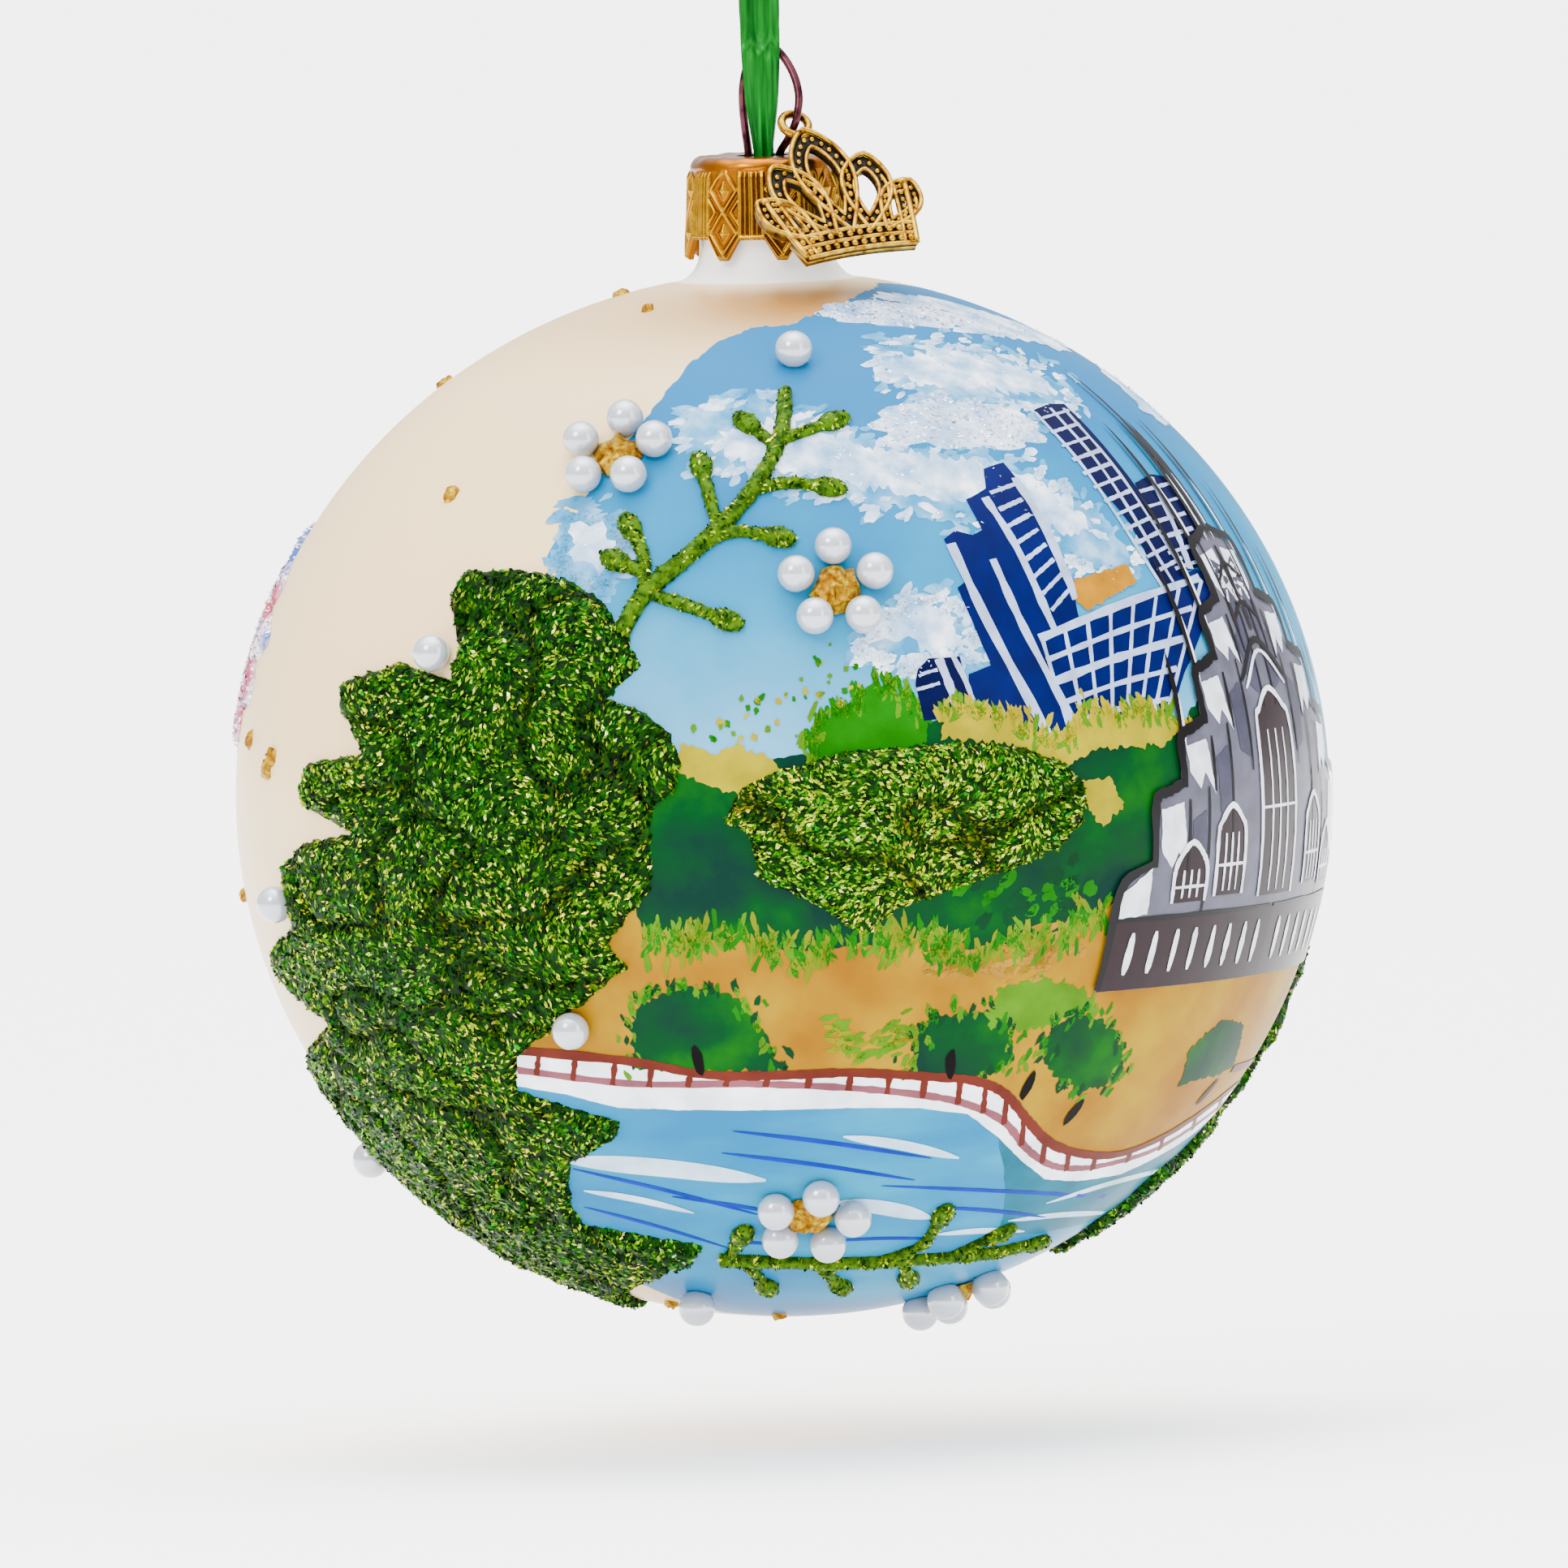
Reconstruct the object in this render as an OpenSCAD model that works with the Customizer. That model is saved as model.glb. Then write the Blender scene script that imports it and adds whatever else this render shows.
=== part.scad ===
// Hand-painted glass ball ornament: blown ball, stamped cap, wire hanger with a spring clip,
// crown charm, satin ribbon, and glitter relief and pearls glued to the glass.
// Millimetres, +Z up. The origin is the top of the ribbon loop, where a hook carries it all.
// The painted scene faces -Y. The loop and the ribbon hang down from the origin.

/* [Ball] */
// Width of the glass ball
ball_d = 100; // [96:1:104]
// Height of the ball as a share of its width
ball_flat = 0.956; // [0.94:0.002:0.97]
// Thickness of the blown glass
glass = 0.9; // [0.8:0.1:1.2]
// Outer diameter of the glass neck
neck_d = 12.2; // [12:0.1:12.4]
// Height of the cap's top above the ball's middle
neck_top = 58.5; // [58:0.5:60]

/* [Cap] */
// Diameter of the cap just under its rounded top edge
cap_top_d = 13.5; // [13.3:0.1:13.8]
// Diameter of the cap's skirt at its lower edge
cap_skirt_d = 14.5; // [14.3:0.1:15]
// Height of the cap down to the tips of its pendants
cap_h = 9.3; // [8.8:0.1:9.8]
// Number of pointed pendants round the skirt
pendants = 8; // [6:1:9]
// Thickness of the stamped metal
cap_wall = 0.35; // [0.3:0.05:0.4]

/* [Hanger] */
// Diameter of the hanger wire
wire_d = 0.75; // [0.6:0.05:0.8]
// Depth of the spring legs below the cap's top
leg_depth = 22; // [20:1:23]
// Ribbon loop's height above the cap
ribbon_rise = 23.6; // [23:0.1:26]
// Thickness of the folded ribbon
ribbon_t = 0.7; // [0.5:0.05:0.8]

/* [Charm] */
// Thickness of the cast crown charm
charm_t = 1.3; // [1.1:0.1:1.4]
// Height of the crown, from its base to the tip of the middle petal
charm_h = 15.1; // [14.5:0.1:15.3]
// How far the charm's face leans up from level sight
charm_lean = 43; // [40:1:45]

/* [Decoration] */
// Diameter of the glued pearls
pearl_d = 3.4; // [3:0.1:3.6]
// Distance from a flower's middle to its pearls
flower_r = 3.7; // [3.6:0.05:3.9]
// Thickness of the glitter paste of the trees
paste = 1.1; // [0.8:0.1:1.4]
// How far the painted scene is turned from the ball's own axis
scene_roll = 1.7; // [0:0.1:3]
// How far above level the scene's viewpoint lies
scene_rise = 3.5; // [0:0.5:6]

/* [Hidden] */
$fn = 96;

// ---- places -------------------------------------------------------------
ball_a = ball_d / 2;                     // the ball's half width
ball_c = ball_a * ball_flat;             // the ball's half height
ball_z = -ribbon_rise - neck_top;        // the ball's middle
glue = 0.02;                             // gap left for glue under what sits on the glass
pearl_sink = 0.38;                       // pearl's middle above the glass, as a share of its diameter
latitude_end = 85;                       // where the ball's outline closes to its axis, in degrees
latitude_step = 5;                       // step along the ball's outline, in degrees
rim_gap = 0.1;                           // neck rim to the cap's underside
bore_r = neck_d / 2 - 0.8;               // bore of the neck
leg_x = 1.55;                            // spring leg's distance from the axis at the cap
leg_turn = -29;                          // direction of the legs about the axis
leg_top = -0.6;                          // upper end of the legs, below the cap's top
leg_bow = 54;                            // radius the legs are bowed to
charm_pin = [2.95, -3.15, 2.85];         // where the wire carries the charm, from the cap's top
charm_turn = 20;                         // charm's heading about Z
charm_tip = 7;                           // charm's tilt in its own plane
ring_r = 1.25;                           // eyelet: middle of its rim
ring_t = 0.42;                           // eyelet: half its thickness
ring_up = 1.3;                           // eyelet's middle above the petal's tip
charm_set = 0.5;                         // crown's middle plane in front of the eyelet's

// ---- vectors ------------------------------------------------------------
function unit(v) = v / norm(v);
// The spheroid's measure of a point: 1 on the glass.
function reach(p) = sqrt((p[0] * p[0] + p[1] * p[1]) / ball_a / ball_a + p[2] * p[2] / ball_c / ball_c);
function onto_glass(p) = p / reach(p);
function glass_normal(p) = unit([p[0] / ball_a / ball_a, p[1] / ball_a / ball_a, p[2] / ball_c / ball_c]);

// A viewpoint turned az degrees to the right of the front and raised by el: its right, up and depth.
function level_right(az) = [cos(az), sin(az), 0];
function level_up(az, el) = [-sin(az) * sin(el), cos(az) * sin(el), cos(el)];
function depth_of(az, el) = [-sin(az) * cos(el), cos(az) * cos(el), -sin(el)];

// The scene's own viewpoint, with its roll.
view_right = level_right(0) * cos(scene_roll) - level_up(0, scene_rise) * sin(scene_roll);
view_up = level_right(0) * sin(scene_roll) + level_up(0, scene_rise) * cos(scene_roll);
view_depth = depth_of(0, scene_rise);

function weigh(p, q) = (p[0] * q[0] + p[1] * q[1]) / ball_a / ball_a + p[2] * q[2] / ball_c / ball_c;
// The point of the glass that shows at (u, w) from the scene's viewpoint, from the ball's middle.
function spot(at) =
    let (p = view_right * at[0] + view_up * at[1],
         a = weigh(view_depth, view_depth),
         b = weigh(p, view_depth),
         c = weigh(p, p) - 1)
    onto_glass(p + view_depth * (-b - sqrt(max(0, b * b - a * c))) / a);
// The point of the glass at a heading and a latitude, both in degrees.
function at_heading(az, lat) = onto_glass([cos(lat) * sin(az), -cos(lat) * cos(az), sin(lat)]);

function tangent_right(n) = unit(cross([0, 0, 1], n));
function tangent_up(n) = cross(n, tangent_right(n));

// Catmull-Rom curve through points, with steps pieces to each span.
function pick(points, i) = points[max(0, min(len(points) - 1, i))];
function curve_at(a, b, c, d, t) =
    0.5 * (2 * b + (c - a) * t + (2 * a - 5 * b + 4 * c - d) * t * t + (3 * b - a - 3 * c + d) * t * t * t);
function smooth(points, steps) = [
    for (i = [0 : len(points) - 2], s = [0 : steps - 1])
        curve_at(pick(points, i - 1), points[i], points[i + 1], pick(points, i + 2), s / steps),
    points[len(points) - 1]
];

// ---- shared shapes ------------------------------------------------------
function half_ellipse(a, c, low, high, step) =
    [for (t = [low : step : high]) [a * cos(t), c * sin(t)]];

// The layer between lift and lift + thick over the glass.
module skin(lift, thick) {
    outer = half_ellipse(ball_a + lift + thick, ball_c + lift + thick, -latitude_end, 75, latitude_step);
    inner = half_ellipse(ball_a + lift, ball_c + lift, -latitude_end, 75, latitude_step);
    rotate_extrude()
        polygon(concat([[0, -ball_c - lift - thick]], outer,
                       [for (i = [len(inner) - 1 : -1 : 0]) inner[i]], [[0, -ball_c - lift]]));
}

module on_ball() {
    translate([0, 0, ball_z]) children();
}

module on_cap() {
    translate([0, 0, -ribbon_rise]) children();
}

// A flat outline stood up to face the viewpoint, and drawn out towards it.
module facing_scene() {
    rotate([90 - scene_rise, 0, 0]) rotate([0, 0, -scene_roll]) linear_extrude(70) children();
}

module facing(az, el) {
    rotate([0, 0, az]) rotate([90 - el, 0, 0]) linear_extrude(70) children();
}

// Stands children on the glass at point p, their Z along the surface's normal.
module stand_at(p) {
    n = glass_normal(p);
    r = tangent_right(n);
    u = tangent_up(n);
    multmatrix([[r[0], u[0], n[0], p[0]], [r[1], u[1], n[1], p[1]], [r[2], u[2], n[2], p[2]], [0, 0, 0, 1]])
        children();
}

// A tube through points, each ring across the run. flat gives the half size along side and across it.
module sweep(points, sizes, side) {
    last = len(points) - 1;
    rings = [
        for (i = [0 : last])
            let (along = unit(points[min(last, i + 1)] - points[max(0, i - 1)]),
                 across = unit(cross(along, side)),
                 wide = cross(across, along))
            [for (k = [0 : 7])
                points[i] + wide * sizes[i][0] * cos(22.5 + 45 * k) + across * sizes[i][1] * sin(22.5 + 45 * k)]
    ];
    walls = [
        for (i = [0 : last - 1], k = [0 : 7])
            let (a = i * 8 + k, b = i * 8 + (k + 1) % 8)
            each [[a, b, b + 8], [a, b + 8, a + 8]]
    ];
    polyhedron(
        points = [for (ring = rings) each ring],
        faces = concat(walls, [[for (k = [7 : -1 : 0]) k]], [[for (k = [0 : 7]) last * 8 + k]])
    );
}

// ---- ribbon -------------------------------------------------------------
// Each point: x, y, z above the cap's top, then the ribbon's half width there.
upper_route = [
    [0, -0.65, 12.3, 0.5], [0, -0.65, 13.3, 1.7], [0, -0.65, 15, 1.75], [0, -0.75, 16.6, 1.75],
    [0, -1.5, 18, 1.75], [0, -2.2, 19.4, 1.75], [0, -2.45, 21, 1.75], [0, -1.9, 22.6, 1.75],
    [0, -0.8, 23.7, 1.75], [0, 0.8, 23.7, 1.75], [0, 1.9, 22.6, 1.75], [0, 2.45, 21, 1.75],
    [0, 2.2, 19.4, 1.75], [0, 1.5, 18, 1.75], [0, 0.75, 16.6, 1.75], [0, 0.65, 15, 1.75],
    [0, 0.65, 13.3, 1.7], [0, 0.65, 12.3, 0.5]
];
front_route = [
    [0, -0.65, 11.7, 0.5], [0, -0.9, 10.7, 1.7], [0, -1.95, 9, 1.75], [0, -2, 7, 1.65],
    [0, -1.95, 5, 1.5], [0, -1.9, 3, 1.25], [0, -1.8, 1.2, 0.95], [0, -1.75, 0, 0.85],
    [-0.4, -1.85, -1.4, 0.7], [-0.8, -1.9, -2.7, 0.55]
];
back_route = [
    [0, 0.65, 11.7, 0.5], [0, 0.8, 10.7, 1.5], [0, 0.9, 9, 1.5], [0, 0.8, 7, 1.25],
    [0, 0.6, 5, 1.15], [0, 0.2, 3, 1.1], [0, -0.3, 1.2, 0.9], [0, -0.45, 0, 0.85],
    [-0.4, -0.9, -1.4, 0.7], [-0.8, -1.2, -2.7, 0.55]
];
knot_at = [-0.95, -1.75, -4.1];
knot_r = 1.5;

module strand(route) {
    run = smooth(route, 2);
    sweep([for (p = run) [p[0], p[1], p[2]]], [for (p = run) [p[3], ribbon_t / 2]], [1, 0, 0]);
}

module ribbon_upper() {
    color("seagreen") on_cap() strand(upper_route);
}

module ribbon_lower() {
    color("seagreen") on_cap() {
        strand(front_route);
        strand(back_route);
    }
}

// The ribbon's two ends, knotted under the cap so that the knot can't pass its opening.
module ribbon_knot() {
    color("seagreen") on_cap() translate(knot_at) {
        sphere(r = knot_r, $fn = 48);
        for (side = [-1, 1])
            rotate([14, 12 * side, 0]) translate([0, 0, -4.6]) cylinder(r = 0.45, h = 4.4, $fn = 24);
    }
}

// ---- cap ----------------------------------------------------------------
cap_corner = 1;                          // rounding of the cap's top edge
cap_hole_r = 2.5;                        // opening for the wire and the ribbon
pendant_root = 7.4;                      // from the cap's top down to the notches
pendant_w = 3.2;                         // width of a pendant at its root
pendant_tip = 0.9;                       // width of a pendant at its tip
function skirt_r(z) = cap_top_d / 2 + (cap_skirt_d - cap_top_d) / 2 * (-z - cap_corner) / (cap_h - cap_corner);
function cap_line(inset) = concat(
    [[cap_hole_r, -inset]],
    [for (t = [90 : -15 : 0])
        [cap_top_d / 2 - cap_corner + (cap_corner - inset) * cos(t), -cap_corner + (cap_corner - inset) * sin(t)]],
    [[cap_skirt_d / 2 - inset, -cap_h]]
);

module cap_shell() {
    outer = cap_line(0);
    inner = cap_line(cap_wall);
    rotate_extrude()
        polygon(concat(outer, [for (i = [len(inner) - 1 : -1 : 0]) inner[i]]));
}

module skirt_notches() {
    step = 360 / pendants;
    reach_w = 2 * (cap_skirt_d / 2) * tan(step / 2);
    for (i = [0 : pendants - 1])
        rotate([0, 0, i * step + 12 - 90 + step / 2]) rotate([90, 0, 90]) linear_extrude(20)
            polygon([
                [-(reach_w - pendant_w) / 2, -pendant_root], [(reach_w - pendant_w) / 2, -pendant_root],
                [(reach_w - pendant_tip) / 2, -cap_h - 1], [-(reach_w - pendant_tip) / 2, -cap_h - 1]
            ]);
}

// Raised diamonds on a pendant's strip of the skirt, one above the other.
module embossing() {
    step = 360 / pendants;
    for (i = [0 : pendants - 1], z = [-3.3, -6.3])
        rotate([0, 0, i * step + 12 - 90]) translate([skirt_r(z) - 0.25, 0, z])
            rotate([0, 90, 0]) rotate([0, 0, 45]) linear_extrude(0.4) difference() {
                square(1.9, center = true);
                square(1, center = true);
            }
}

module cap() {
    color("goldenrod") on_cap() {
        difference() {
            cap_shell();
            skirt_notches();
        }
        embossing();
    }
}

// ---- wire ---------------------------------------------------------------
eye_route = [
    [-1.35, 0.75, -0.4], [-1.4, 0.7, 0.6], [-1.6, 0.5, 2.4], [-1.75, 0.3, 4.4], [-1.7, 0.1, 6.2],
    [-1.3, -0.1, 8], [-0.5, -0.3, 9.4], [0.5, -0.5, 9.9], [1.5, -0.8, 9.6], [2.4, -1.4, 8.5],
    [3.1, -2.1, 7], [3.4, -2.7, 5.4], [3.25, -3.1, 4], [2.95, -3.15, 2.85], [2.3, -2.4, 1.5],
    [1.6, -1.2, 0.4], [1.35, -0.75, -0.4]
];

module wire_eye() {
    run = smooth(eye_route, 3);
    color("saddlebrown") on_cap() sweep(run, [for (p = run) [wire_d / 2, wire_d / 2]], [0, 1, 0]);
}

// One leg of the spring clip, bowed outwards so that it springs against the neck.
module spring_leg(turn) {
    sweep_angle = asin((leg_depth + leg_top) / leg_bow);
    color("saddlebrown") on_cap() rotate([0, 0, leg_turn + turn]) {
        translate([leg_x + leg_bow, 0, leg_top]) rotate([90, 0, 0]) rotate([0, 0, 180])
            rotate_extrude(angle = sweep_angle) translate([leg_bow, 0]) circle(d = wire_d, $fn = 32);
        translate([leg_x + leg_bow * (1 - cos(sweep_angle)), 0, -leg_depth]) sphere(r = 0.52, $fn = 32);
    }
}

module left_spring_leg() {
    spring_leg(180);
}

module right_spring_leg() {
    spring_leg(0);
}

// ---- glass --------------------------------------------------------------
flare_x = 2.8;                           // how far the neck's foot spreads
flare_z = 3;                             // height of the neck's foot
foot_z = 50;                             // top of the neck's foot, above the ball's middle

module glass_ball() {
    foot_r = neck_d / 2 + flare_x;
    outer = half_ellipse(ball_a, ball_c, -latitude_end, acos(foot_r / ball_a) - 2, latitude_step);
    foot = [for (t = [90 : -15 : 0]) [foot_r - flare_x * cos(t), foot_z - flare_z * sin(t)]];
    rim = neck_top - cap_wall - rim_gap;
    inner_a = ball_a - glass;
    inner_c = ball_c - glass;
    inner = half_ellipse(inner_a, inner_c, -latitude_end, 80, latitude_step);
    color("wheat") on_ball() rotate_extrude()
        polygon(concat(
            [[0, -ball_c]], outer, foot, [[neck_d / 2, rim], [bore_r, rim], [bore_r, inner_c + 0.3]],
            [for (i = [len(inner) - 1 : -1 : 0]) inner[i]], [[0, -inner_c]]
        ));
}

// ---- charm --------------------------------------------------------------
// A pointed oval standing on its lower point, with its middle cut away.
module petal(w, h, rim) {
    difference() {
        pointed_oval(w, h, 0);
        translate([0, rim * 1.5]) pointed_oval(w - 2 * rim, h - 3.2 * rim, 0);
    }
}

module pointed_oval(w, h, grow) {
    r = (w * w / 4 + h * h / 4) / w;
    intersection_for(side = [-1, 1])
        translate([side * (r - w / 2), h / 2]) circle(r = r + grow);
}

module crown_outline() {
    base_w = 11.1;
    band_h = 2.3;
    // Base band, between two shallow arcs.
    difference() {
        polygon([[-base_w / 2, 0], [base_w / 2, 0], [base_w / 2 + 0.7, band_h], [-base_w / 2 - 0.7, band_h]]);
        translate([0, -40.3]) circle(r = 40.6);
    }
    intersection() {
        polygon([[-base_w / 2, 0], [base_w / 2, 0], [base_w / 2 + 0.9, 3.1], [-base_w / 2 - 0.9, 3.1]]);
        difference() {
            translate([0, -39]) circle(r = 42);
            translate([0, -40.3]) circle(r = 40.6);
        }
    }
    translate([0, 2.4]) petal(5, charm_h - 2.4, 1);
    for (side = [-1, 1]) {
        translate([side * 1.6, 2.3]) rotate([0, 0, -15 * side]) petal(4.2, 9, 0.85);
        translate([side * 3.4, 2.2]) rotate([0, 0, -36 * side]) petal(3, 6.6, 0.75);
        // Slanting side bar.
        polygon([[side * 5.5, 1.5], [side * 4.5, 2.4], [side * 6.3, 7.6], [side * 7.2, 7]]);
        translate([side * 6.4, 7]) circle(r = 0.9);
    }
}

module crown_charm() {
    color("goldenrod") on_cap() translate(charm_pin)
        rotate([0, 0, charm_turn]) rotate([90 - charm_lean, 0, 0]) rotate([0, 0, charm_tip]) {
            rotate_extrude() translate([ring_r, 0]) circle(r = ring_t, $fn = 32);
            translate([0, -charm_h - ring_up, charm_set - charm_t / 2]) linear_extrude(charm_t)
                crown_outline();
        }
}

// ---- pearls and gold ----------------------------------------------------
// Where each flower's middle shows, and how far its first pearl is turned from upright.
upper_flower = [-14.9, 30.5];
middle_flower = [4.8, 18.5];
lower_flower = [2.6, -38];
bottom_flower = at_heading(62, -70);
back_flower = at_heading(184, 30);
single_spots = [[1, 39.3], [-31, 12.4], [-18.7, -20.9], [-45, -9.8], [-37.5, -33.3], [-7.6, -45.6]];
// Gold flecks: heading, latitude and radius.
front_flecks = [[-14.8, 45.6, 0.8], [-12.2, 44.1, 0.6], [-30.9, 37.7, 0.9], [-30.1, 27.2, 0.9], [-48.5, 5, 0.9],
    [-46.9, 2.2, 1.1], [-46.4, 3.4, 0.9], [-49.8, -9.4, 0.7], [-10.1, -46.4, 0.8], [-0.3, -47.5, 0.8]];
back_flecks = [[240, 62, 0.8], [214, 58, 1], [188, 55, 0.7], [222, -16, 1], [214, -30, 0.9], [200, -8, 0.7],
    [246, -40, 0.9], [190, -52, 0.8], [178, 8, 0.8]];

module pearl(p) {
    stand_at(p) difference() {
        translate([0, 0, pearl_d * pearl_sink]) sphere(d = pearl_d, $fn = 48);
        translate([0, 0, glue - pearl_d]) cylinder(d = 2 * pearl_d, h = pearl_d, $fn = 48);
    }
}

module flower_pearls(p, turn) {
    n = glass_normal(p);
    color("white") on_ball()
        for (i = [0 : 4])
            let (a = 90 + turn + 72 * i)
                pearl(onto_glass(p + (tangent_right(n) * cos(a) + tangent_up(n) * sin(a)) * flower_r));
}

module fleck(p, r, thick) {
    intersection() {
        skin(glue, thick);
        stand_at(p) translate([0, 0, -2]) cylinder(r = r, h = 6, $fn = 24);
    }
}

module flower_centre(p) {
    color("gold") on_ball() fleck(p, flower_r - pearl_d / 2 - 0.12, 0.9);
}

module upper_flower_pearls() {
    flower_pearls(spot(upper_flower), 0);
}

module upper_flower_centre() {
    flower_centre(spot(upper_flower));
}

module middle_flower_pearls() {
    flower_pearls(spot(middle_flower), 0);
}

module middle_flower_centre() {
    flower_centre(spot(middle_flower));
}

module lower_flower_pearls() {
    flower_pearls(spot(lower_flower), -12);
}

module lower_flower_centre() {
    flower_centre(spot(lower_flower));
}

module bottom_flower_pearls() {
    flower_pearls(bottom_flower, 10);
}

module bottom_flower_centre() {
    flower_centre(bottom_flower);
}

module back_flower_pearls() {
    flower_pearls(back_flower, 20);
}

module back_flower_centre() {
    flower_centre(back_flower);
}

module single_pearls() {
    color("white") on_ball() for (at = single_spots) pearl(spot(at));
}

module gold_flecks() {
    color("gold") on_ball() {
        for (f = front_flecks) fleck(spot(f), f[2], 0.3);
        for (f = back_flecks) fleck(at_heading(f[0], f[1]), f[2], 0.3);
    }
}

// Room round the single pearls, cut out of the paste that they stand in.
module pearl_beds() {
    for (at = single_spots)
        let (p = spot(at))
            translate(p + glass_normal(p) * pearl_d * pearl_sink) sphere(d = pearl_d + 0.16, $fn = 48);
}

// ---- glitter relief -----------------------------------------------------
tree_outline = [
    [-28.5, 20.2], [-23.3, 20.2], [-19.6, 19.5], [-16.3, 17.5], [-13.8, 13.8], [-12.8, 11.6], [-15.9, 8.6],
    [-12.9, 7.6], [-10, 5.4], [-9.2, 2.8], [-9.6, 0.6], [-11.8, -1.6], [-11.9, -8.7], [-15.9, -13.5],
    [-14, -15.7], [-20.3, -20.9], [-24, -23.9], [-24, -26.9], [-14.8, -29.7], [-15.1, -31.3],
    [-19.2, -33.5], [-19.2, -37.2], [-18.1, -39.1], [-7.2, -41], [-8.2, -42.6], [-12.2, -46.5],
    [-24, -46.5], [-43, -34], [-43, -30.2], [-40.7, -26.9], [-40.7, -20.9], [-45.6, -16.5], [-46.3, -13.9],
    [-44.1, -12], [-45.2, -6.5], [-43.7, -4.6], [-38.9, -3.5], [-43.7, -0.9], [-43, 2.8], [-37.8, 3.6],
    [-40, 8], [-39.6, 10.2], [-34.4, 11.9], [-30, 10.2], [-29.2, 13.2], [-30.1, 17.7]
];
bush_outline = [
    [-5.5, -2.4], [-3.6, 0.6], [-0.3, 2.1], [6.4, 3.9], [16, 4.7], [21.2, 4.3], [25.7, 2.8], [27.5, 0.6],
    [27.2, -2.4], [24.9, -5], [17.5, -7.9], [10.1, -10.5], [7.5, -12.8], [2.7, -9.8], [-2.2, -7.6], [-2.9, -3.5]
];
// Strokes of a twig: the points that it runs through on the scene.
branch_strokes = [
    [[-12.9, 16.6], [-12.2, 18.2], [-7.7, 22.1], [-3.3, 26.6], [-0.3, 31.8], [0.3, 36.4]],
    [[-5.9, 24.3], [-7.3, 29.5]], [[-2.9, 27.3], [4.2, 27.6]], [[-7.7, 22.1], [-4.4, 23.6], [-0.4, 23.1]],
    [[-12, 18], [-8.5, 16.9], [-5, 15.6]], [[-12.5, 17.6], [-12.5, 21.4], [-13.7, 24]],
    [[-12.5, 19.9], [-15, 21]], [[-0.6, 31.4], [-3.2, 33.4]], [[-0.4, 31.8], [4.6, 33.6]]
];
branch_buds = [[-7.3, 29.9], [4.5, 27.6], [-0.2, 23], [-4.4, 15.5], [-13.9, 24.4], [-15.3, 21], [-3.6, 33.6],
    [5, 33.7]];
vine_strokes = [
    [[-5.6, -42.1], [5.6, -42.4], [17.5, -41.7], [23, -40.7]], [[-4.7, -41.8], [-3.6, -39.9]],
    [[-3.6, -42.1], [-1.4, -44.6]], [[2.7, -42.1], [5.3, -44.6]], [[11.2, -42], [14.5, -38.1]],
    [[16.8, -41.7], [19.7, -39.8]], [[10.8, -42.1], [11.4, -43.9]]
];
vine_buds = [[-3.6, -39.7], [-1.2, -44.8], [5.5, -44.7], [14.6, -38], [19.9, -39.8], [23.3, -40.6]];

module relief(thick) {
    difference() {
        intersection() {
            skin(glue, thick);
            children();
        }
        pearl_beds();
    }
}

module big_tree() {
    color("forestgreen") on_ball() relief(paste) facing_scene() polygon(tree_outline);
}

module bush() {
    color("forestgreen") on_ball() relief(paste) facing_scene() polygon(bush_outline);
}

// A twig's outline, seen square on from a raised viewpoint el.
module twig(strokes, buds, el, w) {
    right = level_right(0);
    up = level_up(0, el);
    function flat(at) = let (p = spot(at)) [p * right, p * up];
    for (s = strokes, i = [0 : len(s) - 2])
        let (a = flat(s[i]), b = flat(s[i + 1]), run = norm(b - a))
            translate(a) rotate(atan2(b[1] - a[1], b[0] - a[0])) {
                translate([0, -w / 2]) square([run, w]);
                circle(d = w * 1.25, $fn = 8);
            }
    for (b = buds)
        translate(flat(b)) circle(d = 2.2, $fn = 10);
}

module upper_branch() {
    color("yellowgreen") on_ball() relief(0.8) facing(0, 30) twig(branch_strokes, branch_buds, 30, 1.1);
}

module lower_vine() {
    color("yellowgreen") on_ball() relief(0.8) facing(0, -55) twig(vine_strokes, vine_buds, -55, 1.1);
}

// A round shape with a scalloped edge.
function scallops(rx, ry, lobes, deep) = [
    for (t = [0 : 360 / lobes / 5 : 359.9])
        [rx * cos(t), ry * sin(t)] * (1 - deep + deep * abs(sin(t * lobes / 2)))
];

module back_tree() {
    color("forestgreen") on_ball() relief(paste) facing(108, -8) {
        translate([8, 6]) polygon(scallops(15, 15, 11, 0.14));
        translate([4, -16]) polygon(scallops(17, 14, 11, 0.14));
        translate([-4, -31]) polygon(scallops(14, 8, 9, 0.14));
    }
}

module blossom_patch() {
    color("pink") on_ball() relief(0.7) facing(-112, 18) {
        polygon(scallops(26, 13, 14, 0.16));
        translate([-8, 9]) polygon(scallops(12, 9, 9, 0.16));
    }
}

module sky_glitter() {
    color("aliceblue") on_ball() relief(0.25) {
        facing(20, 45) translate([6, 1]) polygon(scallops(9, 3.4, 9, 0.12));
        facing(20, 45) translate([6, 19]) polygon(scallops(8, 3, 9, 0.12));
    }
}

// The painted hall's raised enamel: stepped gables on a plinth, with a middle spire.
hall_half = [
    [0, 33], [1.1, 24], [4, 22.5], [4.5, 18], [7.6, 16.5], [8, 13], [11.2, 11.5], [11.7, 7.5],
    [14.8, 6], [15.3, 2], [18.4, 0.5], [18.4, -5], [22, -7.5], [22, -16.5], [0, -16.5]
];

module hall_relief() {
    color("gainsboro") on_ball() relief(0.3) facing(64, 0)
        polygon(concat(hall_half, [for (i = [len(hall_half) - 2 : -1 : 1]) [-hall_half[i][0], hall_half[i][1]]]));
}

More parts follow.
